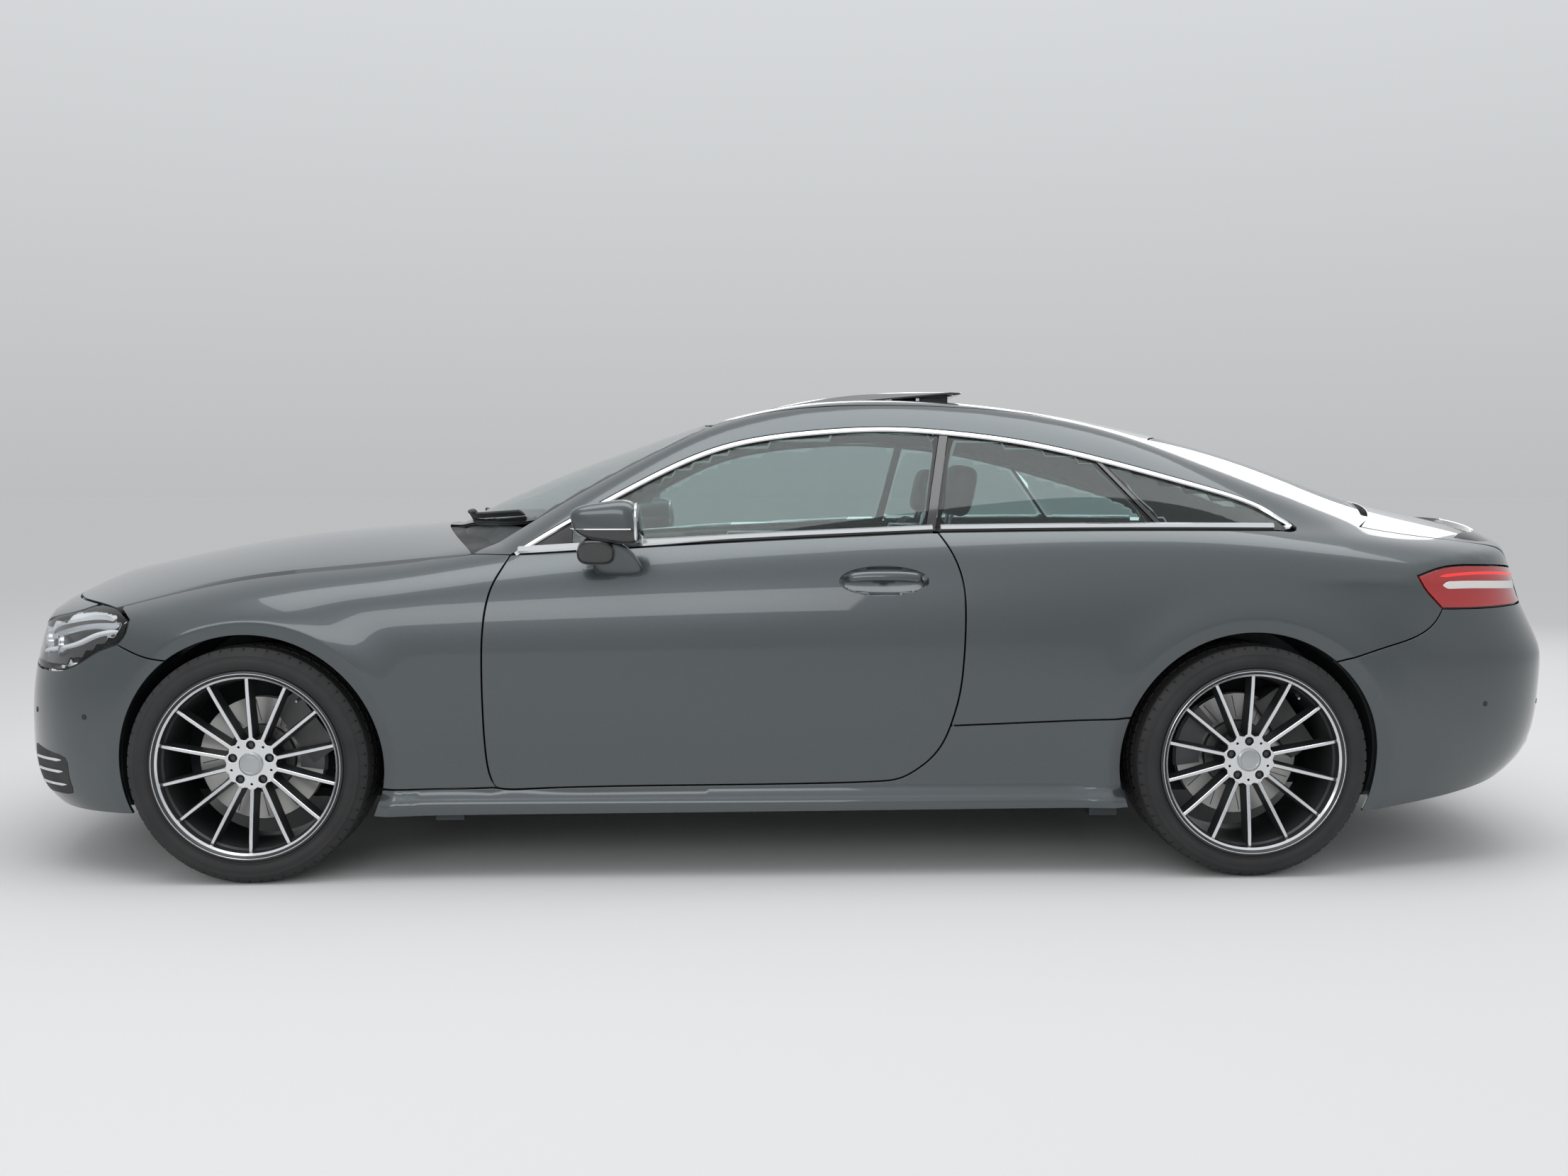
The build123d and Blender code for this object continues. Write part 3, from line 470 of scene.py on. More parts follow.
def filling(view, tops, field, grid, arches):
    """Flat points that fill a panel inside its loops, in rows round the wheel arches where it meets them."""
    low, high = tops[0].min(0), tops[0].max(0)
    gx, gy = np.meshgrid(np.arange(low[0], high[0], grid), np.arange(low[1], high[1], grid))
    gx[1::2] += grid / 2
    inner = np.stack([gx.ravel(), gy.ravel()], 1)
    inner = inner[inside_loop(inner, tops[0])]
    for loop in tops[1:]:
        inner = inner[~inside_loop(inner, loop)]
    for loop in tops:
        inner = inner[~near_loop(inner, loop, grid * 0.42)]
    if not arches:
        return inner
    solid = land(view, inner, field)
    for ax, az in ARCHES:
        near = (np.hypot(solid[:, 0] - ax, solid[:, 2] - az) < 0.480) & (np.abs(solid[:, 1]) > 0.6)
        inner, solid = inner[~near], solid[~near]
    rows = arch_rows(view)
    rows = rows[inside_loop(rows, tops[0])]
    for loop in tops:
        rows = rows[~near_loop(rows, loop, 0.005)]
    return np.vstack([inner, rows])


def panel(name, view, outline, material, holes=(), field=all_field, gap=0.002, edge=0.0016, depth=0.012,
          sunk=0.0, grid=0.022, arches=False, inward=None):
    """A closed sheet on the form inside an outline, with rolled edges and holes."""
    loops, tops = edge_loops(view, (outline, *holes), gap, edge)
    inner = filling(view, tops, field, grid, arches)
    flat = np.vstack([*tops, inner])
    edges, start, starts = [], 0, []
    for loop in tops:
        edges += [(start + i, start + (i + 1) % len(loop)) for i in range(len(loop))]
        starts.append(start)
        start += len(loop)
    _, _, tris, origin, _, _ = geometry.delaunay_2d_cdt([Vector(p) for p in flat], edges, [], 1, 1e-7)
    back_to = [o[0] if o else -1 for o in origin]
    tris = np.array([[back_to[i] for i in t] for t in tris])
    tris = tris[(tris >= 0).all(1)]
    mid = flat[tris].mean(1)
    for loop in tops[1:]:
        tris, mid = tris[~inside_loop(mid, loop)], mid[~inside_loop(mid, loop)]
    points = land(view, flat, field)
    normal = gradient(field, points)
    points = points - normal * sunk
    a, b, c = (points[tris[:, i]] for i in range(3))
    facing = (np.cross(b - a, c - a) * normal[tris[:, 0]]).sum()
    if facing < 0:
        tris = tris[:, ::-1]
    n = len(points)
    verts, normals = [points], [normal]
    under_of = np.arange(n)
    total = n
    rings = []
    for loop, top, first in zip(loops, tops, starts):
        count = len(loop)
        on_top = points[first : first + count]
        half = land(view, top + (loop - top) * 0.7, field)
        full = land(view, loop, field)
        n_full = gradient(field, full)
        full = full - n_full * sunk
        half = half - n_full * sunk
        out = full - on_top
        out -= (out * n_full).sum(1)[:, None] * n_full
        out /= np.maximum(np.linalg.norm(out, axis=1), 1e-9)[:, None]
        slant = n_full + out
        slant /= np.linalg.norm(slant, axis=1)[:, None]
        rings.append((first, count, total))
        down = n_full if inward is None else -np.array(inward, float)
        verts += [half - n_full * edge * 0.3, full - n_full * edge, full - down * depth]
        normals += [slant, out, out]
        under_of[first : first + count] = total + 2 * count + np.arange(count)
        total += 3 * count
    free = np.ones(n, bool)
    for first, count, _ in rings:
        free[first : first + count] = False
    under_of[free] = total + np.arange(free.sum())
    verts.append(points[free] - (normal[free] if inward is None else -np.array(inward, float)) * depth)
    normals.append(-normal[free])
    verts, normals = np.vstack(verts), np.vstack(normals)
    quads = []
    for first, count, ring in rings:
        i = np.arange(count)
        j = (i + 1) % count
        levels = [first, ring, ring + count, ring + 2 * count]
        for lo, hi in zip(levels[:-1], levels[1:]):
            quads.append(np.stack([lo + i, lo + j, hi + j, hi + i], 1))
    strip = quads[0]
    p = verts[strip]
    if (np.cross(p[:, 1] - p[:, 0], p[:, 3] - p[:, 0]) * normals[strip[:, 3]]).sum() < 0:
        quads = [q[:, ::-1] for q in quads]
    all_faces = [tuple(f) for f in tris] + [tuple(q) for group in quads for q in group]
    all_faces += [tuple(f) for f in under_of[tris][:, ::-1]]
    return mesh_object(name, verts, all_faces, material, normals)


# ------------------------------------------------------------------ finishes
def finish(name, color, rough=0.5, metal=0.0, **more):
    """A plain finish. more: coat, coat_rough, clear (transmission), ior, glow, specular, sheen."""
    mat = bpy.data.materials.new(name)
    mat.use_nodes = True
    shader = mat.node_tree.nodes["Principled BSDF"]
    sockets = {
        "Base Color": (*color, 1), "Roughness": rough, "Metallic": metal, "Coat Weight": more.get("coat", 0),
        "Coat Roughness": more.get("coat_rough", 0.03), "Transmission Weight": more.get("clear", 0),
        "IOR": more.get("ior", 1.5), "Sheen Weight": more.get("sheen", 0),
        "Specular IOR Level": more.get("specular", 0.5),
    }
    for key, value in sockets.items():
        shader.inputs[key].default_value = value
    if "glow" in more:
        shader.inputs["Emission Color"].default_value = (*color, 1)
        shader.inputs["Emission Strength"].default_value = more["glow"]
    return mat


def wired(tree, kind, inputs=None, **settings):
    """A node with its settings made and its inputs filled or linked."""
    node = tree.nodes.new(kind)
    for key, value in settings.items():
        setattr(node, key, value)
    for key, value in (inputs or {}).items():
        if isinstance(value, bpy.types.NodeSocket):
            tree.links.new(value, node.inputs[key])
        else:
            node.inputs[key].default_value = value
    return node


class Wiring:
    """Shorthand for a finish's node tree."""

    def __init__(self, mat):
        self.mat, self.tree = mat, mat.node_tree
        self.shader = self.tree.nodes["Principled BSDF"]
        self.place = self.tree.nodes.new("ShaderNodeTexCoord").outputs["Object"]

    def node(self, kind, inputs=None, **settings):
        return wired(self.tree, "ShaderNode" + kind, inputs, **settings)

    def link(self, out, socket):
        self.tree.links.new(out, self.shader.inputs[socket])

    def noise(self, scale, detail=2.0, stretch=None):
        place = self.place
        if stretch:
            place = self.node("Mapping", {"Vector": place, "Scale": stretch}).outputs["Vector"]
        return self.node("TexNoise", {"Vector": place, "Scale": scale, "Detail": detail}).outputs["Fac"]

    def spread(self, factor, low, high, source=(0.3, 0.7)):
        """factor, remapped from source to low..high."""
        inputs = {"Value": factor, "From Min": source[0], "From Max": source[1], "To Min": low,
                  "To Max": high}
        return self.node("MapRange", inputs).outputs["Result"]

    def tint(self, factor, dark, light):
        mix = self.node("Mix", {"Factor": factor}, data_type="RGBA")
        # the colour sockets of a Mix node come after its number and vector ones
        mix.inputs[6].default_value, mix.inputs[7].default_value = (*dark, 1), (*light, 1)
        return mix.outputs[2]

    def bump(self, height, strength, distance):
        inputs = {"Height": height, "Strength": strength, "Distance": distance}
        self.link(self.node("Bump", inputs).outputs["Normal"], "Normal")


def metal_paint(name, dark, light):
    """Metallic lacquer: flakes under a clear coat with a faint ripple."""
    mat = finish(name, light, 0.34, 0.78, coat=1.0, coat_rough=0.025)
    w = Wiring(mat)
    flake = w.noise(2600, 1.0)
    cloud = w.noise(1.3, 2.0)
    w.link(w.tint(w.spread(flake, 0, 1), dark, light), "Base Color")
    w.link(w.spread(cloud, 0.31, 0.37), "Roughness")
    ripple = w.node("Bump", {"Height": w.noise(420, 2.0), "Strength": 0.02, "Distance": 0.0004})
    w.link(ripple.outputs["Normal"], "Coat Normal")
    return mat


def grained(name, color, rough, size, depth=0.0004, spread=0.12, **more):
    """A finish with a fine moulded or cast grain and uneven gloss."""
    mat = finish(name, color, rough, **more)
    w = Wiring(mat)
    w.bump(w.noise(size, 3.0), 0.5, depth)
    w.link(w.spread(w.noise(9.0, 4.0), rough - spread, rough + spread), "Roughness")
    dull = tuple(c * 0.8 for c in color)
    w.link(w.tint(w.spread(w.noise(14.0, 5.0), 0, 1), dull, color), "Base Color")
    return mat


def turned(name, color, rough, axis_scale, **more):
    """Bright metal with fine tool marks along one way."""
    mat = finish(name, color, rough, 1.0, **more)
    w = Wiring(mat)
    marks = w.noise(1.0, 2.0, axis_scale)
    w.link(w.spread(marks, rough - 0.06, rough + 0.08), "Roughness")
    w.bump(marks, 0.12, 0.0002)
    return mat


paint = metal_paint("metallic_grey_paint", (0.052, 0.062, 0.066), (0.105, 0.121, 0.127))
under_paint = grained("inner_body_paint", (0.040, 0.046, 0.049), 0.45, 300, 0.0001, metal=0.5)
under_seal = grained("under_seal", (0.016, 0.016, 0.017), 0.8, 240, 0.0005)
chrome = turned("bright_trim", (0.78, 0.79, 0.80), 0.10, (3, 900, 900))
black_gloss = finish("gloss_black", (0.012, 0.012, 0.013), 0.08, coat=1.0)
black_trim = grained("black_trim_plastic", (0.018, 0.018, 0.02), 0.55, 900)
seal_rubber = grained("seal_rubber", (0.012, 0.012, 0.012), 0.72, 500)
side_glass = finish("side_glass", (0.46, 0.56, 0.55), 0.0, clear=1.0, ior=1.45)
screen_glass = finish("screen_glass", (0.56, 0.65, 0.64), 0.0, clear=1.0, ior=1.45)
roof_glass = finish("roof_glass", (0.012, 0.014, 0.015), 0.03, coat=1.0)
lamp_glass = finish("lamp_glass", (0.93, 0.95, 0.96), 0.0, clear=1.0, ior=1.42)
red_glass = finish("red_lamp_glass", (0.45, 0.006, 0.008), 0.06, coat=1.0, clear=0.25, glow=0.05)
white_glass = finish("white_lamp_band", (0.75, 0.74, 0.72), 0.12, coat=1.0)
lamp_bowl = finish("lamp_bowl", (0.62, 0.63, 0.65), 0.16, 1.0)
lamp_black = grained("lamp_housing", (0.03, 0.03, 0.033), 0.35, 700)
day_light = finish("daytime_light", (0.86, 0.88, 0.90), 0.15, glow=0.25)
tyre_rubber = grained("tyre_rubber", (0.022, 0.022, 0.023), 0.74, 700, 0.0003, 0.08)
rim_bright = turned("machined_alloy", (0.74, 0.75, 0.76), 0.20, (500, 500, 8))
rim_dark = finish("dark_alloy", (0.055, 0.057, 0.06), 0.35, 0.6)
rim_silver = finish("silver_alloy", (0.46, 0.47, 0.48), 0.30, 0.9)
disc_iron = turned("brake_disc_iron", (0.44, 0.43, 0.42), 0.34, (700, 700, 700))
carrier_iron = grained("cast_iron", (0.13, 0.13, 0.13), 0.55, 260, 0.0005, metal=0.7)
steel = grained("chassis_steel", (0.05, 0.05, 0.052), 0.55, 220, 0.0003, metal=0.4)
alloy = grained("cast_alloy", (0.38, 0.39, 0.40), 0.5, 240, 0.0004, metal=0.8)
cabin_dark = grained("cabin_plastic", (0.022, 0.021, 0.021), 0.62, 1100)
leather = grained("seat_leather", (0.045, 0.040, 0.038), 0.46, 420, 0.0007, 0.08)
plate_white = finish("blank_plate", (0.75, 0.75, 0.74), 0.4, coat=0.5)

# ------------------------------------------------------------------ outlines that neighbouring panels share
FRONTAL = Flat((0, 1, 0), (0, 0, 1), (-1, 0, 0), 2.7)
FRONTAL.reach = 2.6
BACKWARD = Flat((0, 1, 0), (0, 0, 1), (1, 0, 0), 2.7)
BACKWARD.reach = 2.6


def side(*points):
    return on(SIDE, points)


def run(view, points, spacing=0.012):
    """A smooth curve through flat points of any view, laid on the form."""
    return land(view, round_through(points, spacing))


def lip_arc(wheel, start, end):
    """Part of a wheel arch's lip on the car's left side."""
    ax, az = ARCHES[wheel]
    return land(SIDE, arc(ax, az, ARCH_LIP, start, end))


def through(*flat_points):
    """A smooth curve on the form through points that are each given in their own view: (view, u, v)."""
    solid = np.array([land(v, (a, b))[0] for v, a, b in flat_points])
    return round_through(solid)


def onto(points, view):
    """Points pressed back on the form along a view's rays."""
    return land(view, view.to2d(points))


HALF_BONNET = 0.775
bonnet_side = run(TOP, [(-0.958, -HALF_BONNET), (-1.985, -HALF_BONNET)])
bonnet_front = run(TOP, [(-1.985, -HALF_BONNET), (-2.17, -0.565), (-2.287, -0.29), (-2.325, 0),
                         (-2.287, 0.29), (-2.17, 0.565), (-1.985, HALF_BONNET)], 0.02)
bonnet_rear = run(TOP, [(-0.958, HALF_BONNET), (-1.052, 0.52), (-1.135, 0.20), (-1.150, 0), (-1.135, -0.20),
                        (-1.052, -0.52), (-0.958, -HALF_BONNET)], 0.02)

bumper_shut = run(SIDE, [(-1.7944, 0.6384), (-1.870, 0.652), (-1.948, 0.681)])
lamp_back = run(SIDE, [(-1.948, 0.681), (-1.922, 0.712), (-1.917, 0.752)])
lamp_heel = run(SIDE, [(-1.917, 0.752), (-1.948, 0.772), (-1.985, 0.7845)])
lamp_below = onto(through((SIDE, -1.948, 0.681), (SIDE, -2.02, 0.655), (SIDE, -2.10, 0.612),
                          (FRONTAL, -0.72, 0.594), (FRONTAL, -0.62, 0.598), (FRONTAL, -0.53, 0.620),
                          (FRONTAL, -0.455, 0.672)), FRONT)
lamp_above = onto(through((FRONTAL, -0.455, 0.672), (FRONTAL, -0.54, 0.706), (FRONTAL, -0.63, 0.737),
                          (FRONTAL, -0.72, 0.768), (SIDE, -2.06, 0.786), (SIDE, -1.985, 0.7845)), FRONT)
bumper_low_z = 0.19
front_lip_end = math.degrees(math.asin((bumper_low_z - ARCHES[0][1]) / ARCH_LIP))
front_corner = land(SIDE, (FRONT_AXLE - ARCH_LIP * math.cos(math.radians(front_lip_end)), bumper_low_z))[0]
corner_angle = FRONT.to2d(front_corner[None])[0, 0]
bumper_bottom = run(FRONT, [(corner_angle, bumper_low_z), (corner_angle * 0.6, 0.186), (0, 0.182),
                            (-corner_angle * 0.6, 0.186), (-corner_angle, bumper_low_z)], 0.02)
front_lip = lip_arc(0, 125.9, 180 - front_lip_end)

door_front = run(SIDE, [(-0.842, 0.9335), (-0.862, 0.893), (-0.886, 0.843), (-0.907, 0.725), (-0.911, 0.600),
                        (-0.910, 0.450), (-0.900, 0.313), (-0.893, 0.290)])
door_low = run(SIDE, [(-0.893, 0.290), (-0.884, 0.270), (-0.862, 0.2625), (-0.75, 0.2635), (-0.2, 0.271),
                      (0.215, 0.278), (0.285, 0.288), (0.335, 0.316), (0.376, 0.352), (0.408, 0.400),
                      (0.425, 0.443)])
door_rear = run(SIDE, [(0.425, 0.443), (0.448, 0.53), (0.461, 0.65), (0.465, 0.76), (0.461, 0.845),
                       (0.444, 0.911), (0.420, 0.960), (0.396, 0.997)])
waist_front = run(SIDE, [(-0.842, 0.9335), (-0.45, 0.957), (0.0, 0.980), (0.396, 0.997)])
waist_rear = run(SIDE, [(0.396, 0.997), (0.75, 1.001), (1.10, 1.002), (1.419, 1.000)])
window_top = run(SIDE, [(1.419, 1.000), (1.462, 1.001), (1.474, 1.012), (1.450, 1.034), (1.390, 1.073),
                        (1.188, 1.143), (0.894, 1.224), (0.655, 1.276), (0.457, 1.301), (0.273, 1.312),
                        (0.045, 1.301), (-0.182, 1.268), (-0.352, 1.209), (-0.580, 1.090), (-0.740, 0.999),
                        (-0.813, 0.953), (-0.842, 0.9335)])

sill_front_z = 0.264
sill_lip = math.degrees(math.asin((sill_front_z - ARCHES[0][1]) / ARCH_LIP))
sill_tip = (FRONT_AXLE + ARCH_LIP * math.cos(math.radians(sill_lip)), sill_front_z)
sill_top = run(SIDE, [(-0.878, 0.2665), (-0.95, 0.264), sill_tip])
sill_low_z = 0.188
low_lip = math.degrees(math.asin((sill_low_z - ARCHES[0][1]) / ARCH_LIP))
rear_low_lip = math.degrees(math.asin((0.200 - ARCHES[1][1]) / ARCH_LIP))
sill_bottom = run(SIDE, [(FRONT_AXLE + ARCH_LIP * math.cos(math.radians(low_lip)), sill_low_z), (-0.3, 0.193),
                         (REAR_AXLE - ARCH_LIP * math.cos(math.radians(rear_low_lip)), 0.200)])
sill_rear = run(SIDE, [(0.425, 0.443), (0.66, 0.452), (0.9484, 0.464)])

pillar_foot = through((TOP, -0.958, -HALF_BONNET), (TOP, -0.91, -0.789), (SIDE, -0.842, 0.9335))
screen_side = through((FRONTAL, -0.692, 1.030), (FRONTAL, -0.672, 1.080), (FRONTAL, -0.620, 1.187),
                      (FRONTAL, -0.560, 1.290), (FRONTAL, -0.530, 1.318))
cowl_side = through((TOP, -0.958, -HALF_BONNET), (TOP, -0.93, -0.74), (FRONTAL, -0.692, 1.030))
screen_top = through((FRONTAL, -0.530, 1.318), (TOP, -0.288, -0.40), (TOP, -0.293, 0), (TOP, -0.288, 0.40),
                     (FRONTAL, 0.530, 1.318))
screen_low = through((FRONTAL, -0.692, 1.030), (FRONTAL, -0.60, 1.021), (FRONTAL, -0.30, 1.012),
                     (FRONTAL, 0, 1.008), (FRONTAL, 0.30, 1.012), (FRONTAL, 0.60, 1.021),
                     (FRONTAL, 0.692, 1.030))
roof_side = through((FRONTAL, -0.530, 1.318), (TOP, -0.15, -0.520), (TOP, 0.30, -0.522), (TOP, 0.85, -0.505),
                    (BACKWARD, -0.475, 1.278))
rear_glass_side = through((BACKWARD, -0.475, 1.278), (BACKWARD, -0.497, 1.200), (BACKWARD, -0.520, 1.110),
                          (TOP, 1.775, -0.540))
rear_glass_top = through((BACKWARD, -0.475, 1.278), (BACKWARD, -0.38, 1.288), (BACKWARD, 0, 1.300),
                         (BACKWARD, 0.38, 1.288), (BACKWARD, 0.475, 1.278))
lid_front = run(TOP, [(1.700, -0.690), (1.793, -0.530), (1.873, -0.30), (1.907, 0), (1.873, 0.30),
                      (1.793, 0.530), (1.700, 0.690)], 0.02)
glass_foot_line = run(TOP, [(1.775, -0.540), (1.850, -0.30), (1.886, 0), (1.850, 0.30), (1.775, 0.540)], 0.02)
lid_corner = run(TOP, [(1.775, -0.540), (1.790, -0.537), (1.755, -0.610), (1.700, -0.690)])

LAMP_INNER = 0.62
lid_side = through((TOP, 1.700, -0.690), (TOP, 1.90, -0.690), (TOP, 2.06, -0.678), (BACKWARD, -0.645, 0.912),
                   (BACKWARD, -LAMP_INNER, 0.884))
lid_cheek = run(BACKWARD, [(-LAMP_INNER, 0.884), (-LAMP_INNER, 0.776)])
lid_heel = run(BACKWARD, [(-LAMP_INNER, 0.776), (-LAMP_INNER, 0.730), (-0.606, 0.712), (-0.585, 0.706)])
lid_foot = run(BACKWARD, [(-0.585, 0.706), (0, 0.703), (0.585, 0.706)], 0.02)
tail_above = onto(through((SIDE, 1.786, 0.871), (SIDE, 1.880, 0.896), (SIDE, 2.00, 0.899),
                          (BACKWARD, -0.745, 0.895), (BACKWARD, -LAMP_INNER, 0.884)), REAR)
tail_below = onto(through((SIDE, 1.869, 0.774), (SIDE, 2.00, 0.772), (BACKWARD, -0.76, 0.774),
                          (BACKWARD, -LAMP_INNER, 0.776)), REAR)
tail_heel = run(SIDE, [(1.786, 0.871), (1.808, 0.835), (1.845, 0.797), (1.869, 0.774)])
rear_shut = run(SIDE, [(1.869, 0.774), (1.846, 0.742), (1.801, 0.709), (1.68, 0.668), (1.5350, 0.6245)])
rear_corner_z = 0.178
rear_lip_end = math.degrees(math.asin((rear_corner_z - ARCHES[1][1]) / ARCH_LIP))
rear_corner = land(SIDE, (REAR_AXLE + ARCH_LIP * math.cos(math.radians(rear_lip_end)), rear_corner_z))[0]
corner_rear = REAR.to2d(rear_corner[None])[0, 0]
rear_bottom = run(REAR, [(corner_rear, rear_corner_z), (corner_rear * 0.75, 0.215),
                         (corner_rear * 0.5, 0.262), (corner_rear * 0.3, 0.285), (0, 0.290),
                         (-corner_rear * 0.3, 0.285), (-corner_rear * 0.5, 0.262),
                         (-corner_rear * 0.75, 0.215), (-corner_rear, rear_corner_z)], 0.02)


def rounded(points, radius, spacing=0.008):
    """A closed flat outline with rounded corners."""
    p = np.array(points, float)
    out = []
    for a, b, c in zip(np.roll(p, 1, 0), p, np.roll(p, -1, 0)):
        u, v = (a - b) / np.linalg.norm(a - b), (c - b) / np.linalg.norm(c - b)
        half = math.acos(np.clip(u @ v, -1, 1)) / 2
        cut = min(radius / math.tan(half), np.linalg.norm(a - b) * 0.49, np.linalg.norm(c - b) * 0.49)
        start, end = b + u * cut, b + v * cut
        n = max(3, int(cut * 1.6 / spacing))
        t = np.linspace(0, 1, n)[:, None]
        out.append((1 - t) ** 2 * start + 2 * t * (1 - t) * b + t * t * end)
    ring = np.vstack(out)
    fine = []
    for a, b in zip(ring, np.roll(ring, -1, 0)):
        n = max(1, int(np.linalg.norm(b - a) / (spacing * 2.5)))
        fine.append(a + (b - a) * np.linspace(0, 1, n, endpoint=False)[:, None])
    return np.vstack(fine)


def pair(name, view, outline, material, body, replaced=(), **more):
    """The same panel on both sides. body and replaced name the left side's; right ones follow from them."""
    left = panel(name + "_left", view, outline, material, **more)
    right = flipped(left, name + "_right")
    other = body.replace("_left", "_right")
    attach(left, body)
    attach(right, other)
    for node in replaced:
        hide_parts(node)
        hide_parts(node.replace("_left", "_right"))
    return left, right


def place(obj, body, slot, *nodes):
    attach(obj, body)
    if nodes:
        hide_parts(*nodes)
    return obj


def both(obj, body, slot, *nodes):
    """A left piece and its mirror image, riding the matching bodies."""
    left = obj.name + "_left"
    right = flipped(obj, obj.name + "_right")
    obj.name = obj.data.name = left
    place(obj, body, slot, *nodes)
    place(right, body.replace("_left", "_right"), slot, *[n.replace("_left", "_right") for n in nodes])


# ------------------------------------------------------------------ body panels
AFT = Flat((0, 1, 0), (-math.sin(0.8), 0, math.cos(0.8)), (math.cos(0.8), 0, math.sin(0.8)), 3.0)
AFT.reach = 2.6
FORE = Flat((0, 1, 0), (math.sin(0.95), 0, math.cos(0.95)), (-math.cos(0.95), 0, math.sin(0.95)), 3.0)
FORE.reach = 2.6

bonnet_outline = join(bonnet_side, bonnet_front, mirrored(bonnet_side), bonnet_rear)
place(panel("bonnet_skin", TOP, bonnet_outline, paint, depth=0.020), "bonnet", "paint", "bonnet")

wing_outline = join(bonnet_side, lamp_heel[::-1], lamp_back[::-1], bumper_shut[::-1],
                    lip_arc(0, 125.9, sill_lip), sill_top[::-1], door_front[::-1], pillar_foot[::-1])
pair("wing_skin", SHOULDER, wing_outline, paint, "body", ["front_wings"], arches=True)

grille_ring = land(FRONTAL, rounded([(-0.300, 0.712), (0.300, 0.712), (0.415, 0.590), (0.350, 0.440),
                                     (-0.350, 0.440), (-0.415, 0.590)], 0.05))
intake_ring = land(FRONTAL, rounded([(-0.560, 0.385), (0.560, 0.385), (0.640, 0.322), (0.590, 0.248),
                                     (-0.590, 0.248), (-0.640, 0.322)], 0.035))
bumper_outline = join(front_lip[::-1], bumper_shut, lamp_below, lamp_above, bonnet_front,
                      mirrored(lamp_above), mirrored(lamp_below), mirrored(bumper_shut),
                      mirrored(front_lip[::-1]), bumper_bottom[::-1])
bumper_skin = panel("front_bumper_skin", FRONT, bumper_outline, paint, [grille_ring, intake_ring],
                    sunk=0.0003, arches=True)
place(bumper_skin, "body", "paint", "front_bumper")

door_outline = join(door_front, door_low, door_rear, waist_front[::-1])
HANDLE = (0.233, 0.860)
HOLLOW = (0.126, 0.040, 0.026)
angles = np.linspace(0, 2 * math.pi, 56, endpoint=False)
hollow_ring = land(SIDE, np.stack([HANDLE[0] + HOLLOW[0] * np.cos(angles),
                                   HANDLE[1] + HOLLOW[1] * np.sin(angles)], 1))


def hollow_field(p):
    """The door's face, pressed in behind the handle."""
    e = ((p[:, 0] - HANDLE[0]) / HOLLOW[0]) ** 2 + ((p[:, 2] - HANDLE[1]) / HOLLOW[1]) ** 2
    return all_field(p) + 0.0016 + HOLLOW[2] * np.clip(1.08 - e, 0, 1) ** 0.8


DOOR_DEEP = 0.134
pair("door_skin", SIDE, door_outline, paint, "door_left", ["door_left"], holes=[hollow_ring], gap=0.0022,
     depth=DOOR_DEEP, inward=(0, 1, 0))
pair("handle_hollow", SIDE, hollow_ring, paint, "door_left", field=hollow_field, gap=-0.0065, edge=0.0006,
     depth=0.004, grid=0.007)
card = panel("door_card", SIDE, door_outline, cabin_dark, gap=0.022, edge=0.004, depth=0.010,
             inward=(0, 1, 0))
card.data.transform(Matrix.Translation((0, DOOR_DEEP - 0.004, 0)))
both(card, "door_left", "cabin_plastic")

sill_outline = join(sill_top, lip_arc(0, sill_lip, low_lip), sill_bottom,
                    lip_arc(1, 180 - rear_low_lip, 159.6), sill_rear[::-1], door_low[::-1])
pair("sill_skin", SIDE, sill_outline, paint, "body", arches=True)

frame_outline = join(cowl_side, screen_side, roof_side, rear_glass_side, lid_corner, lid_side,
                     tail_above[::-1], tail_heel, rear_shut, lip_arc(1, 51.0, 159.6), sill_rear[::-1],
                     door_rear, waist_rear, window_top, pillar_foot[::-1])
pair("side_frame_skin", SHOULDER, frame_outline, paint, "body", arches=True)

lid_outline = join(lid_side, lid_cheek, lid_heel, lid_foot, mirrored(lid_heel), mirrored(lid_cheek),
                   mirrored(lid_side), lid_front[::-1])
place(panel("boot_lid_skin", AFT, lid_outline, paint, depth=0.018), "boot_lid", "paint", "boot_lid")

tail_outline = join(rear_shut[::-1], tail_below, lid_heel, lid_foot, mirrored(lid_heel), mirrored(tail_below),
                    mirrored(rear_shut[::-1]), mirrored(lip_arc(1, 51.0, rear_lip_end))[::-1],
                    rear_bottom[::-1], lip_arc(1, rear_lip_end, 51.0))
tip_ring = land(BACKWARD, rounded([(-0.662, 0.284), (-0.518, 0.284), (-0.518, 0.352), (-0.662, 0.352)], 0.024,
                                  0.006))
PLATE = (0.262, 0.500, 0.615)
plate_ring = land(BACKWARD, rounded([(-PLATE[0], PLATE[1]), (PLATE[0], PLATE[1]), (PLATE[0], PLATE[2]),
                                     (-PLATE[0], PLATE[2])], 0.008))
place(panel("rear_bumper_skin", REAR, tail_outline, paint, [tip_ring, mirrored(tip_ring), plate_ring],
            arches=True), "body", "paint", "rear_bumper")

OPENING = [(-0.112, -0.425), (0.536, -0.425), (0.536, 0.425), (-0.112, 0.425)]
opening_ring = land(TOP, rounded(OPENING, 0.045, 0.012))
roof_outline = join(screen_top[::-1], roof_side, rear_glass_top, mirrored(roof_side))
place(panel("roof_skin", TOP, roof_outline, paint, [opening_ring]), "body", "paint")


# ------------------------------------------------------------------ strips, tubes and turned pieces
def around(p):
    """Unit tangents of an open curve of points."""
    t = np.gradient(p, axis=0)
    return t / np.maximum(np.linalg.norm(t, axis=1), 1e-9)[:, None]


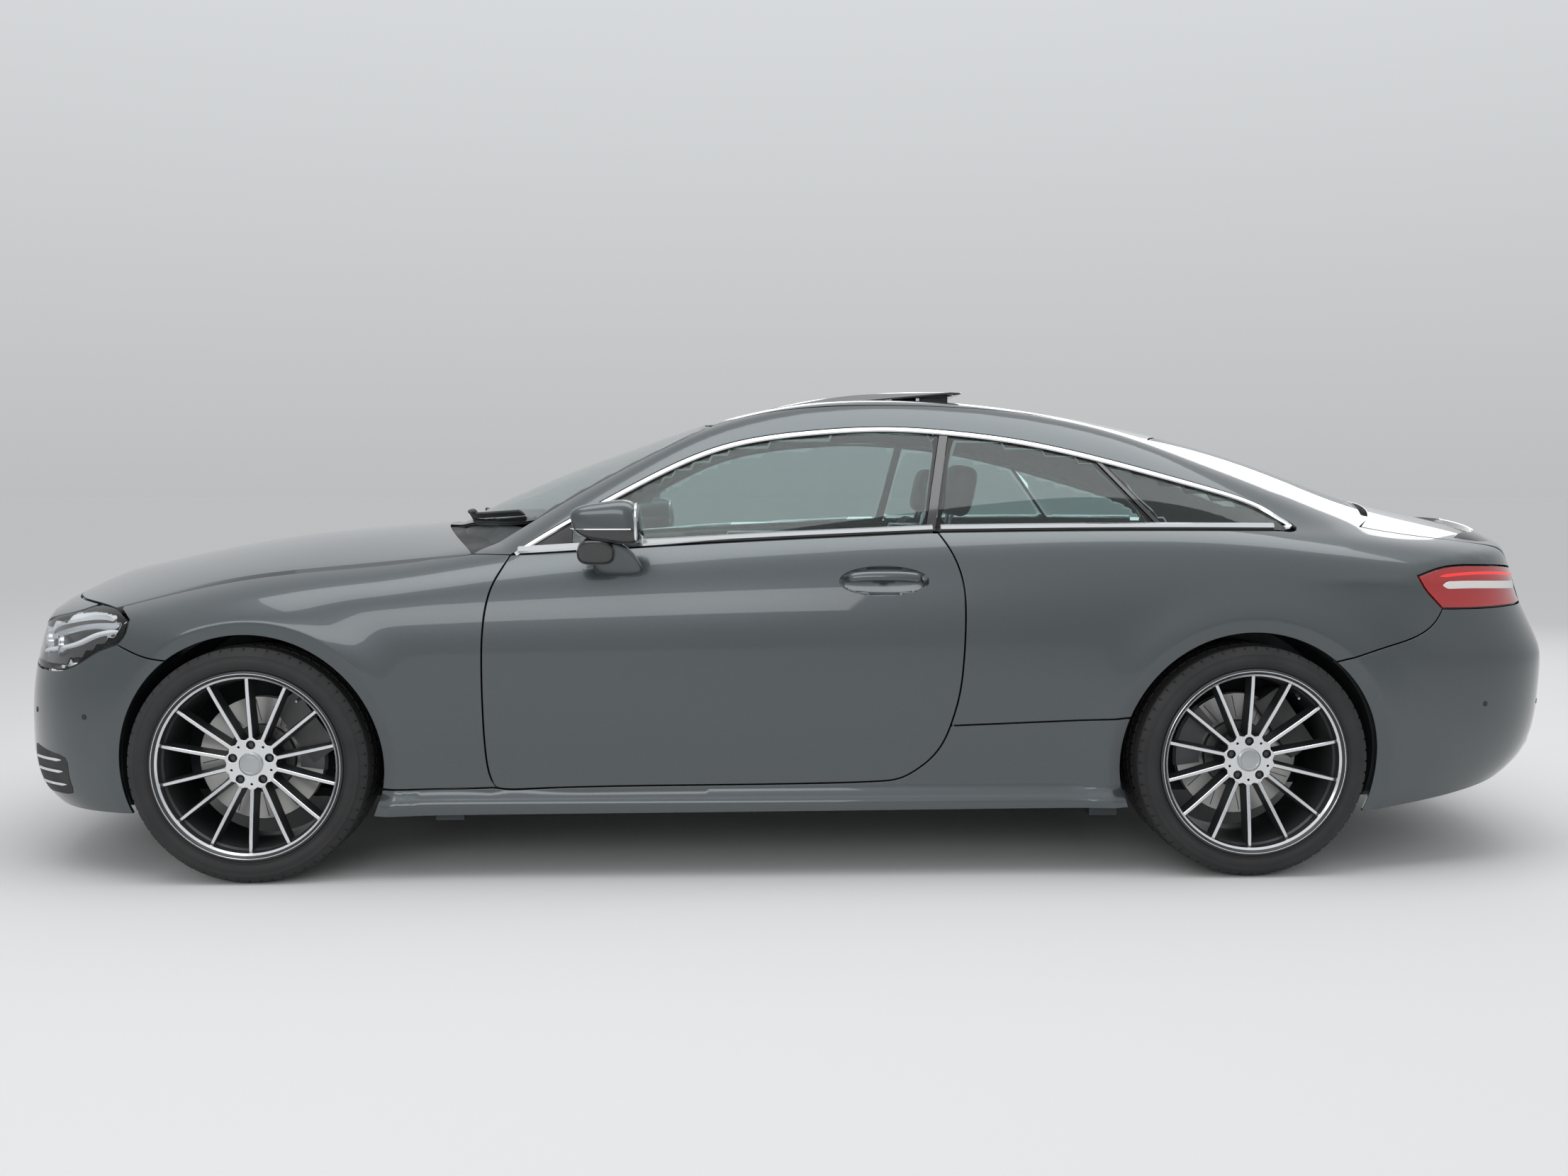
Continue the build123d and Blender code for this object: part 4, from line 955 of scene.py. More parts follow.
def strip(name, points, profile, material, normals=None, closed=False, fade=0.0):
    """A section swept along points. profile: (across, outward) pairs, going round; fade shrinks both ends."""
    p = np.asarray(points, float)
    t = around(p)
    if closed:
        t = np.roll(p, -1, 0) - np.roll(p, 1, 0)
        t /= np.linalg.norm(t, axis=1)[:, None]
    n = gradient(all_field, p) if normals is None else np.broadcast_to(np.asarray(normals, float), p.shape)
    n = n - (n * t).sum(1)[:, None] * t
    n /= np.maximum(np.linalg.norm(n, axis=1), 1e-9)[:, None]
    b = np.cross(n, t)
    count, ring = len(p), len(profile)
    size = np.ones(count)
    if fade:
        d = np.concatenate([[0], np.cumsum(np.linalg.norm(np.diff(p, axis=0), axis=1))])
        size = np.sqrt(np.clip(np.minimum(d, d[-1] - d) / fade, 0.02, 1))
    verts = np.concatenate([p + (b * a + n * o) * size[:, None] for a, o in profile])
    verts = verts.reshape(ring, count, 3).transpose(1, 0, 2).reshape(-1, 3)
    faces = []
    spans = count if closed else count - 1
    for i in range(spans):
        j = (i + 1) % count
        for k in range(ring):
            m = (k + 1) % ring
            faces.append((i * ring + k, i * ring + m, j * ring + m, j * ring + k))
    if not closed:
        faces += [tuple(range(ring))[::-1], tuple((count - 1) * ring + k for k in range(ring))]
    obj = mesh_object(name, verts, faces, material)
    outward(obj)
    return obj


def outward(obj, sharp=30):
    """Faces turned outwards, smooth apart from sharp edges."""
    bm = bmesh.new()
    bm.from_mesh(obj.data)
    bmesh.ops.remove_doubles(bm, verts=bm.verts, dist=1e-6)
    bmesh.ops.recalc_face_normals(bm, faces=bm.faces)
    if bm.calc_volume() < 0:
        bmesh.ops.reverse_faces(bm, faces=bm.faces)
    for e in bm.edges:
        e.smooth = len(e.link_faces) == 2 and e.calc_face_angle(0) < math.radians(sharp)
    bm.to_mesh(obj.data)
    bm.free()
    return obj


def oval(width, height, count=10):
    a = np.linspace(0, 2 * math.pi, count, endpoint=False)
    return [(width / 2 * math.cos(t), height / 2 * math.sin(t)) for t in a]


def bar(width, height, base=0.0, bevel=0.3):
    """A flat section with bevelled upper corners, from base up to height."""
    w, c = width / 2, min(width, height - base) * bevel
    return [(-w, base), (w, base), (w, height - c), (w - c, height), (c - w, height), (-w, height - c)]


def turned_piece(name, profile, material, origin=(0, 0, 0), axis=(0, 1, 0), count=64, sharp=30):
    """A profile of (radius, height) pairs turned about an axis; it may start and end on the axis."""
    axis = Vector(axis).normalized()
    side_way = axis.orthogonal().normalized()
    up = axis.cross(side_way)
    verts, rows = [], []
    for r, h in profile:
        row = []
        if r < 1e-6:
            verts.append(Vector(origin) + axis * h)
            row = [len(verts) - 1] * count
        else:
            for i in range(count):
                a = 2 * math.pi * i / count
                verts.append(Vector(origin) + axis * h + (side_way * math.cos(a) + up * math.sin(a)) * r)
                row.append(len(verts) - 1)
        rows.append(row)
    faces = []
    ends = zip(rows, rows[1:]) if profile[0][0] < 1e-6 else zip(rows, rows[1:] + rows[:1])
    for low, high in ends:
        for i in range(count):
            j = (i + 1) % count
            f = list(dict.fromkeys((low[i], low[j], high[j], high[i])))
            if len(f) > 2:
                faces.append(f)
    return outward(mesh_object(name, verts, faces, material), sharp)


def block(name, low, high, material, bevel=0.003, segments=2):
    """A box with rounded edges."""
    bm = bmesh.new()
    bmesh.ops.create_cube(bm, size=1)
    low, high = Vector(low), Vector(high)
    for v in bm.verts:
        v.co = Vector((low[i] + high[i]) / 2 + v.co[i] * (high[i] - low[i]) for i in range(3))
    bmesh.ops.bevel(bm, geom=bm.edges[:], offset=bevel, segments=segments, affect="EDGES", clamp_overlap=True)
    mesh = bpy.data.meshes.new(name)
    bm.to_mesh(mesh)
    bm.free()
    mesh.polygons.foreach_set("use_smooth", [True] * len(mesh.polygons))
    obj = linked(name, mesh)
    mesh.materials.append(material)
    return outward(obj)


# ------------------------------------------------------------------ repeats, made with node trees
def repeat_tree(name, ring):
    """Copies of the piece's own mesh, either turned about an axis through a centre or moved along a step."""
    tree = bpy.data.node_groups.new(name, "GeometryNodeTree")
    ways = [("Centre", "Vector"), ("Axis", "Vector")] if ring else [("Step", "Vector")]
    tree.interface.new_socket("Geometry", in_out="OUTPUT", socket_type="NodeSocketGeometry")
    for socket, kind in [("Geometry", "Geometry"), ("Count", "Int"), *ways, ("Finish", "Material")]:
        tree.interface.new_socket(socket, in_out="INPUT", socket_type="NodeSocket" + kind)
    given = wired(tree, "NodeGroupInput").outputs
    points = wired(tree, "GeometryNodePoints", {"Count": given["Count"]}).outputs["Points"]
    index = wired(tree, "GeometryNodeInputIndex").outputs[0]
    copies = wired(tree, "GeometryNodeInstanceOnPoints", {"Points": points, "Instance": given["Geometry"]})
    moving = {"Instances": copies.outputs["Instances"], "Local Space": False}
    if ring:
        share = wired(tree, "ShaderNodeMath", {0: 2 * math.pi, 1: given["Count"]}, operation="DIVIDE")
        angle = wired(tree, "ShaderNodeMath", {0: index, 1: share.outputs[0]}, operation="MULTIPLY")
        turn = wired(tree, "FunctionNodeAxisAngleToRotation", {"Axis": given["Axis"],
                                                               "Angle": angle.outputs[0]})
        moving.update({"Rotation": turn.outputs[0], "Pivot Point": given["Centre"]})
        moved = wired(tree, "GeometryNodeRotateInstances", moving)
    else:
        away = wired(tree, "ShaderNodeVectorMath", {0: given["Step"], "Scale": index}, operation="SCALE")
        moved = wired(tree, "GeometryNodeTranslateInstances", {**moving, "Translation": away.outputs[0]})
    real = wired(tree, "GeometryNodeRealizeInstances", {0: moved.outputs["Instances"]})
    painted = wired(tree, "GeometryNodeSetMaterial", {"Geometry": real.outputs[0],
                                                      "Material": given["Finish"]})
    wired(tree, "NodeGroupOutput", {0: painted.outputs[0]})
    return tree


RING = repeat_tree("ring_of_copies", True)
ROW = repeat_tree("row_of_copies", False)


def repeated(obj, tree, material, **inputs):
    """The piece repeated by a tree, as one plain mesh."""
    mod = obj.modifiers.new("repeat", "NODES")
    mod.node_group = tree
    sockets = {s.name: s.identifier for s in tree.interface.items_tree if s.in_out == "INPUT"}
    for key, value in {**inputs, "Finish": material}.items():
        mod[sockets[key]] = value
    graph = bpy.context.evaluated_depsgraph_get()
    mesh = bpy.data.meshes.new_from_object(obj.evaluated_get(graph))
    name = obj.name
    bpy.data.objects.remove(obj)
    mesh.name = name
    return linked(name, mesh)


# ------------------------------------------------------------------ wheels
SPOKES = 14
LUGS = 5
LUG_CIRCLE = 0.0545
VALVE_TURN = math.radians(127)
TREAD_BLOCKS = 64
DISC_Z = 0.018 - 0.057
ABOUT_Z = dict(Centre=(0, 0, 0), Axis=(0, 0, 1))


def slab(name, outline, low, high, material, bevel=0.0015, holes=()):
    """A flat plate in the wheel's plane from low to high, with holes, from outlines of (across, up) pairs."""
    curve = bpy.data.curves.new(name, "CURVE")
    curve.dimensions, curve.fill_mode = "2D", "BOTH"
    curve.extrude = (high - low) / 2 - bevel
    curve.bevel_depth, curve.bevel_resolution, curve.offset = bevel, 1, -bevel
    for ring in (outline, *holes):
        spline = curve.splines.new("POLY")
        spline.points.add(len(ring) - 1)
        for point, (a, b) in zip(spline.points, ring):
            point.co = (a, b, 0, 1)
        spline.use_cyclic_u = True
    temp = linked(name, curve)
    graph = bpy.context.evaluated_depsgraph_get()
    mesh = bpy.data.meshes.new_from_object(temp.evaluated_get(graph))
    bpy.data.objects.remove(temp)
    mesh.transform(Matrix.Translation((0, 0, (high + low) / 2)))
    mesh.materials.clear()
    mesh.materials.append(material)
    obj = linked(name, mesh)
    return outward(obj)


def circle(r, cx, cy, n):
    return [(cx + r * math.cos(2 * math.pi * i / n), cy + r * math.sin(2 * math.pi * i / n))
            for i in range(n)]


def spokes(name, face, half_in, half_out, depth, proud, material):
    """A spoke, narrower from hub to rim and dished towards the hub, repeated round the wheel."""
    verts, faces = [], []
    rows = [(0.068, face - 0.024), (0.100, face - 0.020), (0.160, face - 0.010), (0.215, face - 0.003),
            (0.251, face - 0.001)]
    for i, (r, z) in enumerate(rows):
        t = i / (len(rows) - 1)
        half = half_in + (half_out - half_in) * t
        back = half * (1.9 if depth > 0.01 else 1.0)
        c = half * 0.25
        deep = depth * (1.0 + 0.35 * (1 - t)) if depth > 0.01 else depth
        verts += [(-back, r, z - deep), (back, r, z - deep), (half, r, z + proud - c),
                  (half - c, r, z + proud), (c - half, r, z + proud), (-half, r, z + proud - c)]
    for i in range(len(rows) - 1):
        for k in range(6):
            m = (k + 1) % 6
            faces.append((i * 6 + k, i * 6 + m, i * 6 + 6 + m, i * 6 + 6 + k))
    n = (len(rows) - 1) * 6
    faces += [(5, 4, 3, 2, 1, 0), tuple(n + k for k in range(6))]
    return repeated(outward(mesh_object(name, verts, faces, material)), RING, material, Count=SPOKES,
                    **ABOUT_Z)


def rim_parts(name, bead, face):
    """Deep dark spokes with a thin bright face, the barrel with its flanges, and a bright ring."""
    barrel = [(0.268, bead), (0.2715, bead + 0.004), (0.2715, bead + 0.010), (0.268, bead + 0.0125),
              (0.262, bead + 0.0125), (0.2565, bead + 0.008), (0.2525, bead - 0.001), (0.2505, face - 0.006),
              (0.243, face - 0.016), (0.238, face - 0.06), (0.234, -0.02), (0.236, 0.02 - bead),
              (0.247, -bead), (0.262, -bead - 0.0115), (0.268, -bead - 0.0115), (0.2715, -bead - 0.008),
              (0.268, -bead), (0.250, -bead), (0.248, -bead + 0.02), (0.246, 0), (0.248, bead - 0.02),
              (0.250, bead)]
    lip = [(0.2640, bead + 0.0132), (0.2500, bead + 0.0016), (0.2496, bead - 0.0008), (0.2525, face + 0.001),
           (0.2690, bead + 0.0105)]
    return [
        spokes(name + "_spoke_backs", face, 0.0060, 0.0052, 0.034, -0.0012, rim_dark),
        spokes(name + "_spoke_faces", face, 0.0056, 0.0048, 0.0016, 0.0, rim_bright),
        turned_piece(name + "_barrel", barrel, rim_dark, axis=(0, 0, 1), count=112),
        turned_piece(name + "_bright_ring", lip, rim_bright, axis=(0, 0, 1), count=112),
    ]


def hub_parts(name, face):
    """The hub and its face with lug and pin holes, sunk bolts, a plain cap and the valve."""
    top = face - 0.0235
    turn = [math.radians(90 + 360 / LUGS * i) for i in range(LUGS)]
    edge = []
    for i in range(SPOKES * 8):
        a = 2 * math.pi * i / (SPOKES * 8)
        r = 0.0735 + 0.0035 * math.cos(a * SPOKES)
        edge.append((r * math.sin(a), r * math.cos(a)))
    holes = [circle(0.0128, LUG_CIRCLE * math.cos(a), LUG_CIRCLE * math.sin(a), 24) for a in turn]
    holes += [circle(0.0036, 0.059 * math.cos(a + math.pi / LUGS), 0.059 * math.sin(a + math.pi / LUGS), 12)
              for a in turn]
    hub = [(0, top - 0.012), (0.070, top - 0.012), (0.076, top - 0.05), (0.076, 0.006), (0, 0.006)]
    bolt = [(0, top - 0.004), (0.0072, top - 0.004), (0.0085, top - 0.006), (0.0085, top - 0.0125),
            (0, top - 0.0125)]
    cap = [(0, top + 0.0078), (0.016, top + 0.0075), (0.0245, top + 0.0060), (0.0262, top + 0.0072),
           (0.0300, top + 0.0070), (0.0335, top + 0.0045), (0.0345, top - 0.001), (0, top - 0.001)]
    valve = [(0, 0.034), (0.0032, 0.034), (0.0042, 0.030), (0.0042, 0.010), (0.006, 0.006), (0.006, 0),
             (0, 0)]
    c, s = math.cos(VALVE_TURN), math.sin(VALVE_TURN)
    face_plate = slab(name + "_hub_face", edge, top - 0.006, top, rim_bright, 0.0008, holes)
    hub_piece = turned_piece(name + "_hub", hub, rim_dark, axis=(0, 0, 1))
    bolt_piece = turned_piece(name + "_bolts", bolt, rim_dark, (0, LUG_CIRCLE, 0), (0, 0, 1), 6, 20)
    bolts = repeated(bolt_piece, RING, rim_dark, Count=LUGS, **ABOUT_Z)
    cap_piece = turned_piece(name + "_cap", cap, rim_silver, axis=(0, 0, 1), count=56)
    valve_piece = turned_piece(name + "_valve", valve, rim_silver, (0.238 * c, 0.238 * s, face - 0.040),
                               (-0.35 * c, -0.35 * s, 1), 12)
    return [face_plate, hub_piece, bolts, cap_piece, valve_piece]


def tyre_parts(name, radius, width, bead):
    """A lathed carcass with moulded rings, slanted tread blocks, and blocks over its shoulders."""
    half = width / 2
    wall = (0.271 + radius) / 2 - 0.006
    groove = 0.007
    shell = [(0.2500, bead - 0.002), (0.2680, bead - 0.001), (0.2725, bead + 0.006), (0.2790, bead + 0.0095),
             (0.2810, bead + 0.0082), (0.2860, half - 0.0015), (wall - 0.004, half - 0.0002), (wall, half),
             (wall + 0.003, half - 0.0008), (wall + 0.014, half - 0.004), (wall + 0.0155, half - 0.0035),
             (wall + 0.0170, half - 0.0055), (radius - 0.012, half - 0.013), (radius - 0.0085, half - 0.018)]
    bands = [(-0.40, -0.235), (-0.205, -0.075), (-0.045, 0.045), (0.075, 0.205), (0.235, 0.40)]
    crown = []
    for u0, u1 in bands:
        z0, z1 = u0 * width, u1 * width
        crown += [(radius - groove, z0 - 0.001), (radius - 0.0030, z0), (radius - 0.0030, z1),
                  (radius - groove, z1 + 0.001)]
    profile = shell + crown[::-1] + [(r, -z) for r, z in shell[::-1]]
    parts = [turned_piece(name + "_carcass", profile, tyre_rubber, axis=(0, 0, 1), count=128, sharp=40)]
    pitch = 2 * math.pi / TREAD_BLOCKS
    for i, (u0, u1) in enumerate(bands):
        outer = i in (0, len(bands) - 1)
        z0, z1 = u0 * width + 0.0006, u1 * width - 0.0006
        slant = 0.35 if i % 2 == 0 else -0.35
        gap = 0.10
        verts = []
        for r in (radius - 0.006, radius - (0.0008 if outer else 0)):
            for t, z in ((gap, z0), (1 - gap, z0), (1 - gap, z1), (gap, z1)):
                shift = slant * (z - z0) / (z1 - z0)
                drop = 0.0065 if outer and ((i == 0) == (z == z0)) else 0
                angle = (t + shift) * pitch
                verts.append(((r - drop) * math.sin(angle), (r - drop) * math.cos(angle), z))
        faces = [(3, 2, 1, 0), (4, 5, 6, 7), (0, 1, 5, 4), (1, 2, 6, 5), (2, 3, 7, 6), (3, 0, 4, 7)]
        tread = outward(mesh_object(name + "_tread_%d" % i, verts, faces, tyre_rubber))
        parts.append(repeated(tread, RING, tyre_rubber, Count=TREAD_BLOCKS, **ABOUT_Z))
    section = [(radius - 0.0035, half - 0.020), (radius - 0.0125, half - 0.0118),
               (radius - 0.020, half - 0.0078), (radius - 0.016, half - 0.016),
               (radius - 0.010, half - 0.022)]
    n = len(section)
    faces = [tuple(range(n)), tuple(range(n, 2 * n))[::-1]] + [(k, (k + 1) % n, (k + 1) % n + n, k + n)
                                                               for k in range(n)]
    for end in (1, -1):
        verts = [(r * math.sin(t * pitch), r * math.cos(t * pitch), z * end) for t in (0.10, 0.90) for r,
                 z in section]
        shoulder = outward(mesh_object(name + "_shoulder_%d" % end, verts, faces, tyre_rubber))
        parts.append(repeated(shoulder, RING, tyre_rubber, Count=TREAD_BLOCKS, **ABOUT_Z))
    return parts


def brake_parts(name):
    """A brake disc in two halves with an air gap, its hat, and slots in its outer face drawn as painted
    shade: thin black strips lying on the face, not cut in.
    """
    ring = [(0.1005, DISC_Z + 0.0178), (0.1795, DISC_Z + 0.0178), (0.1795, DISC_Z + 0.006),
            (0.168, DISC_Z + 0.006), (0.168, DISC_Z - 0.006), (0.1795, DISC_Z - 0.006),
            (0.1795, DISC_Z - 0.0178), (0.1005, DISC_Z - 0.0178)]
    hat = [(0, -0.004), (0.090, -0.004), (0.098, -0.007), (0.0985, DISC_Z), (0.0985, DISC_Z - 0.016),
           (0.088, DISC_Z - 0.016), (0.086, -0.014), (0, -0.014)]
    # painted shade: each slot is a flat black strip on the disc face standing in for the shade of a groove
    slot = [(-0.001, 0.108), (0.001, 0.108), (0.016, 0.172), (0.0135, 0.173)]
    ring_piece = turned_piece(name + "_ring", ring, disc_iron, axis=(0, 0, 1), count=96)
    hat_piece = turned_piece(name + "_hat", hat, carrier_iron, axis=(0, 0, 1))
    slot_shade_piece = slab(name + "_slot_shade", slot, DISC_Z + 0.0174, DISC_Z + 0.0181, lamp_black, 0.0001)
    return [ring_piece, hat_piece, repeated(slot_shade_piece, RING, lamp_black, Count=12, **ABOUT_Z)]


def wheel(corner):
    """Rim, tyre and brake disc of one wheel, made about +Z with +Z outboard, then put in place."""
    centre, radius, width, out = WHEELS[corner]
    bead = width / 2 - 0.013
    face = bead - 0.012
    name = "wheel_" + corner
    put = Matrix.Translation(centre) @ Matrix(((out, 0, 0), (0, 0, out), (0, 1, 0))).to_4x4()
    metal = rim_parts(name, bead, face) + hub_parts(name, face)
    tyre = tyre_parts(name, radius, width, bead)
    brake = brake_parts("brake_" + corner)
    for title, parts, slot, node in (
        (name + "_metal", metal, "rim_alloy", "rim_"),
        (name + "_tyre", tyre, "tyre", "tyre_"),
        ("brake_disc_dressed_" + corner + "_metal", brake, "brake_iron", "brake_disc_"),
    ):
        for piece in parts:
            piece.data.transform(put)
        place(joined(title, *parts), name, slot, node + corner)


for corner in WHEELS:
    wheel(corner)

# ------------------------------------------------------------------ glass and its trim
PILLAR_FOOT, PILLAR_TOP = (0.381, 1.011), (0.440, 1.282)
DIVIDER_FOOT, DIVIDER_TOP = (1.063, 1.018), (0.897, 1.218)
PILLAR_HALF = 0.0135


def cut(loop, a, b, shift, keep_left=True):
    """The part of a flat loop on one side of the line a-b moved towards +x by shift."""
    a, b = np.array(a, float) + [shift, 0], np.array(b, float) + [shift, 0]
    way = b - a
    side_of = lambda p: (way[0] * (p[1] - a[1]) - way[1] * (p[0] - a[0])) * (1 if keep_left else -1)
    out = []
    for p, q in zip(loop, np.roll(loop, -1, 0)):
        sp, sq = side_of(p), side_of(q)
        if sp >= 0:
            out.append(p)
        if (sp >= 0) != (sq >= 0):
            out.append(p + (q - p) * sp / (sp - sq))
    corners = join(*[np.array([p]) for p in out])
    fine = []
    for p, q in zip(corners, np.roll(corners, -1, 0)):
        n = max(1, int(np.linalg.norm(q - p) / 0.02))
        fine.append(p + (q - p) * np.linspace(0, 1, n, endpoint=False)[:, None])
    return np.vstack(fine)


daylight = SIDE.to2d(join(waist_front, waist_rear, window_top))
if area(daylight) < 0:
    daylight = daylight[::-1]
pane = offset_loop(daylight, 0.004)
pillar = (PILLAR_FOOT, PILLAR_TOP)
divider = (DIVIDER_FOOT, DIVIDER_TOP)
glass_form = dict(field=up_field, gap=0.0, edge=0.0008, depth=0.004)
door_pane = land(SIDE, cut(pane, *pillar, -PILLAR_HALF - 0.001), up_field)
pair("door_pane", SIDE, door_pane, side_glass, "door_left", ["door_glass_left"], sunk=0.005, **glass_form)
quarter = cut(pane, *pillar, PILLAR_HALF + 0.001, False)
quarter_pane = land(SIDE, cut(quarter, *divider, -0.008), up_field)
panes = pair("quarter_pane", SIDE, quarter_pane, side_glass, "body", sunk=0.005, **glass_form)
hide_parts("quarter_windows")
corner_pane = land(SIDE, cut(quarter, *divider, 0.008, False), up_field)
pair("corner_pane", SIDE, corner_pane, side_glass, "body", sunk=0.005, **glass_form)
post = cut(cut(pane, *pillar, -PILLAR_HALF, False), *pillar, PILLAR_HALF)
pair("pillar_cover", SIDE, land(SIDE, post, up_field), black_gloss, "body", sunk=0.001,
     **dict(glass_form, depth=0.012))
post = cut(cut(pane, *divider, -0.007, False), *divider, 0.007)
pair("divider_cover", SIDE, land(SIDE, post, up_field), black_gloss, "body", sunk=0.001,
     **dict(glass_form, depth=0.012))
sail = cut(pane, (-0.665, 0.96), (-0.668, 1.10), 0)
pair("mirror_sail", SIDE, land(SIDE, sail, up_field), black_trim, "door_left", sunk=0.001,
     **dict(glass_form, depth=0.012))


# the upper moulding runs from the rear tip over the window to the front corner
top_run = land(SIDE, offset_loop(daylight, 0.0085)[len(join(waist_front, waist_rear)) + 1 :], up_field)
both(strip("window_brow", top_run, bar(0.017, 0.005, -0.006), chrome), "body", "chrome")
waist_normal = (0, -0.94, 0.34)
WAIST_RISE, WAIST_PROUD = 0.0105, 0.004


def waist_run(points):
    """A run of the waist line, raised and brought out to the foot of the side windows."""
    return land(SIDE, SIDE.to2d(points) + [0, WAIST_RISE], up_field) + np.array([0, -WAIST_PROUD, 0])


both(strip("waist_moulding_front", waist_run(waist_front[2:-1]), bar(0.0215, 0.010, -0.008), chrome,
           waist_normal), "door_left", "chrome")
both(strip("waist_moulding_rear", waist_run(waist_rear[1:-1]), bar(0.0215, 0.010, -0.008), chrome,
           waist_normal), "body", "chrome")

screen_ring = join(screen_low, mirrored(screen_side)[::-1], screen_top[::-1], screen_side[::-1])
place(panel("windscreen_pane", FORE, screen_ring, screen_glass, gap=0.004, edge=0.001, depth=0.005,
            sunk=0.002), "body", "glass", "windscreen")


def glass_band(name, view, ring, width, gap):
    """A black band behind the edge of a pane."""
    flat = view.to2d(ring)
    inner = land(view, uncrossed(flat, offset_loop(flat, width if area(flat) > 0 else -width))[1])
    band = panel(name, view, ring, black_gloss, [inner[::-1]], gap=gap, edge=0.0005, depth=0.003, sunk=0.0075)
    place(band, "body", "black_trim")


glass_band("windscreen_band", FORE, screen_ring, 0.034, 0.004)
rear_ring = join(glass_foot_line, mirrored(rear_glass_side), rear_glass_top[::-1], rear_glass_side)
place(panel("rear_window_pane", AFT, rear_ring, screen_glass, gap=0.003, edge=0.001, depth=0.005, sunk=0.002),
      "body", "glass", "rear_window")
glass_band("rear_window_band", AFT, rear_ring, 0.030, 0.003)

cowl_front = run(TOP, [(-0.985, -0.750), (-1.088, -0.52), (-1.172, -0.20), (-1.188, 0), (-1.172, 0.20),
                       (-1.088, 0.52), (-0.985, 0.750)], 0.02)
cowl_back = run(TOP, [(-0.905, 0.750), (-0.93, 0.4), (-0.95, 0), (-0.93, -0.4), (-0.905, -0.750)], 0.03)
place(panel("scuttle_cover", TOP, join(cowl_front, cowl_back), black_trim, field=low_field, gap=0.0,
            depth=0.008, sunk=0.010), "body", "black_trim")
shelf_front = run(TOP, [(1.745, -0.565), (1.815, -0.30), (1.851, 0), (1.815, 0.30), (1.745, 0.565)], 0.02)
shelf_back = run(TOP, [(1.735, 0.680), (1.828, 0.530), (1.908, 0.30), (1.942, 0), (1.908, -0.30),
                       (1.828, -0.530), (1.735, -0.680)], 0.02)
place(panel("lid_seal", TOP, join(shelf_front, shelf_back), seal_rubber, gap=0.0, depth=0.006, sunk=0.020),
      "body", "black_trim")


def bridge(name, outer, inner, thick, material):
    """A closed sheet ruled between two runs of as many points, thick downwards."""
    n = len(outer)
    down = np.array([0, 0, thick])
    verts = np.vstack([outer, inner, outer - down, inner - down])
    faces = [(0, n, 3 * n, 2 * n), (n - 1, 3 * n - 1, 4 * n - 1, 2 * n - 1)]
    for i in range(n - 1):
        a, b, c, d = i, i + 1, n + i + 1, n + i
        faces += [(a, b, c, d), (2 * n + a, 2 * n + b, 2 * n + c, 2 * n + d), (a, b, 2 * n + b, 2 * n + a),
                  (d, c, 2 * n + c, 2 * n + d)]
    return outward(mesh_object(name, verts, faces, material))


for label, line, body in (("front", waist_front[1:-1], "door_left"), ("rear", waist_rear[1:-1], "body")):
    outer = line - gradient(all_field, line) * 0.004
    inner = land(SIDE, SIDE.to2d(line) + [0, 0.001], up_field) + [0, 0.012, 0]
    both(bridge("waist_seal_" + label, outer, inner, 0.006, seal_rubber), body, "black_trim")

# ------------------------------------------------------------------ lamps
lamp_ring = join(lamp_back, lamp_heel, lamp_above[::-1], lamp_below[::-1])


lens = panel("headlamp_lens", FRONT, lamp_ring, lamp_glass, gap=0.0045, edge=0.0012, depth=0.003, sunk=0.0015)
lamp_back_piece = panel("headlamp_housing", FRONT, lamp_ring, lamp_black, gap=0.001, edge=0.002, depth=0.030,
                        sunk=0.026)
both(lens, "body", "lamp_clear", "headlamps")
both(lamp_back_piece, "body", "black_trim")


def in_lamp(points, deep):
    """A smooth line on the lamp's face through points given in their own views, set deep behind the lens."""
    p = through(*points)
    p = onto(p, FRONT)
    return p - gradient(all_field, p) * deep


upper_light = in_lamp([(SIDE, -1.940, 0.755), (SIDE, -2.00, 0.768), (SIDE, -2.08, 0.765),
                       (FRONTAL, -0.70, 0.742), (FRONTAL, -0.60, 0.708), (FRONTAL, -0.51, 0.680)], 0.014)
lower_light = in_lamp([(SIDE, -1.955, 0.722), (SIDE, -2.03, 0.708), (SIDE, -2.10, 0.680),
                       (FRONTAL, -0.70, 0.655), (FRONTAL, -0.62, 0.640)], 0.016)
both(strip("daytime_strip_upper", upper_light, bar(0.016, 0.006, -0.010), day_light, fade=0.03), "body",
     "lamp_clear")
both(strip("daytime_strip_lower", lower_light, bar(0.010, 0.006, -0.010), day_light, fade=0.03), "body",
     "lamp_clear")
both(strip("lamp_blade", in_lamp([(SIDE, -1.96, 0.738), (SIDE, -2.05, 0.735), (FRONTAL, -0.73, 0.705),
                                  (FRONTAL, -0.60, 0.672)], 0.020), bar(0.020, 0.006, -0.008), lamp_bowl,
           fade=0.03), "body", "chrome")
for i, (y, z, r) in enumerate(((-0.735, 0.668, 0.030), (-0.655, 0.672, 0.030), (-0.575, 0.668, 0.024))):
    spot = onto(land(FRONTAL, (y, z)), FRONT)[0]
    out = gradient(all_field, spot[None])[0]
    aim = np.array([-0.94, -0.34, 0.0])
    seat = spot - out * 0.020 - aim * 0.010
    both(turned_piece("lamp_bowl_%d" % i, [(r + 0.003, 0), (r + 0.003, 0.014), (r, 0.0155),
                                           (r - 0.004, 0.010), (r - 0.005, 0)], lamp_bowl, seat, aim, 40),
         "body", "chrome")
    both(turned_piece("lamp_projector_%d" % i, [(0, 0.019), (r * 0.35, 0.018), (r * 0.62, 0.0145),
                                                (r * 0.84, 0.008), (r * 0.84, -0.004), (0, -0.004)],
                      lamp_glass, seat, aim, 40), "body", "lamp_clear")

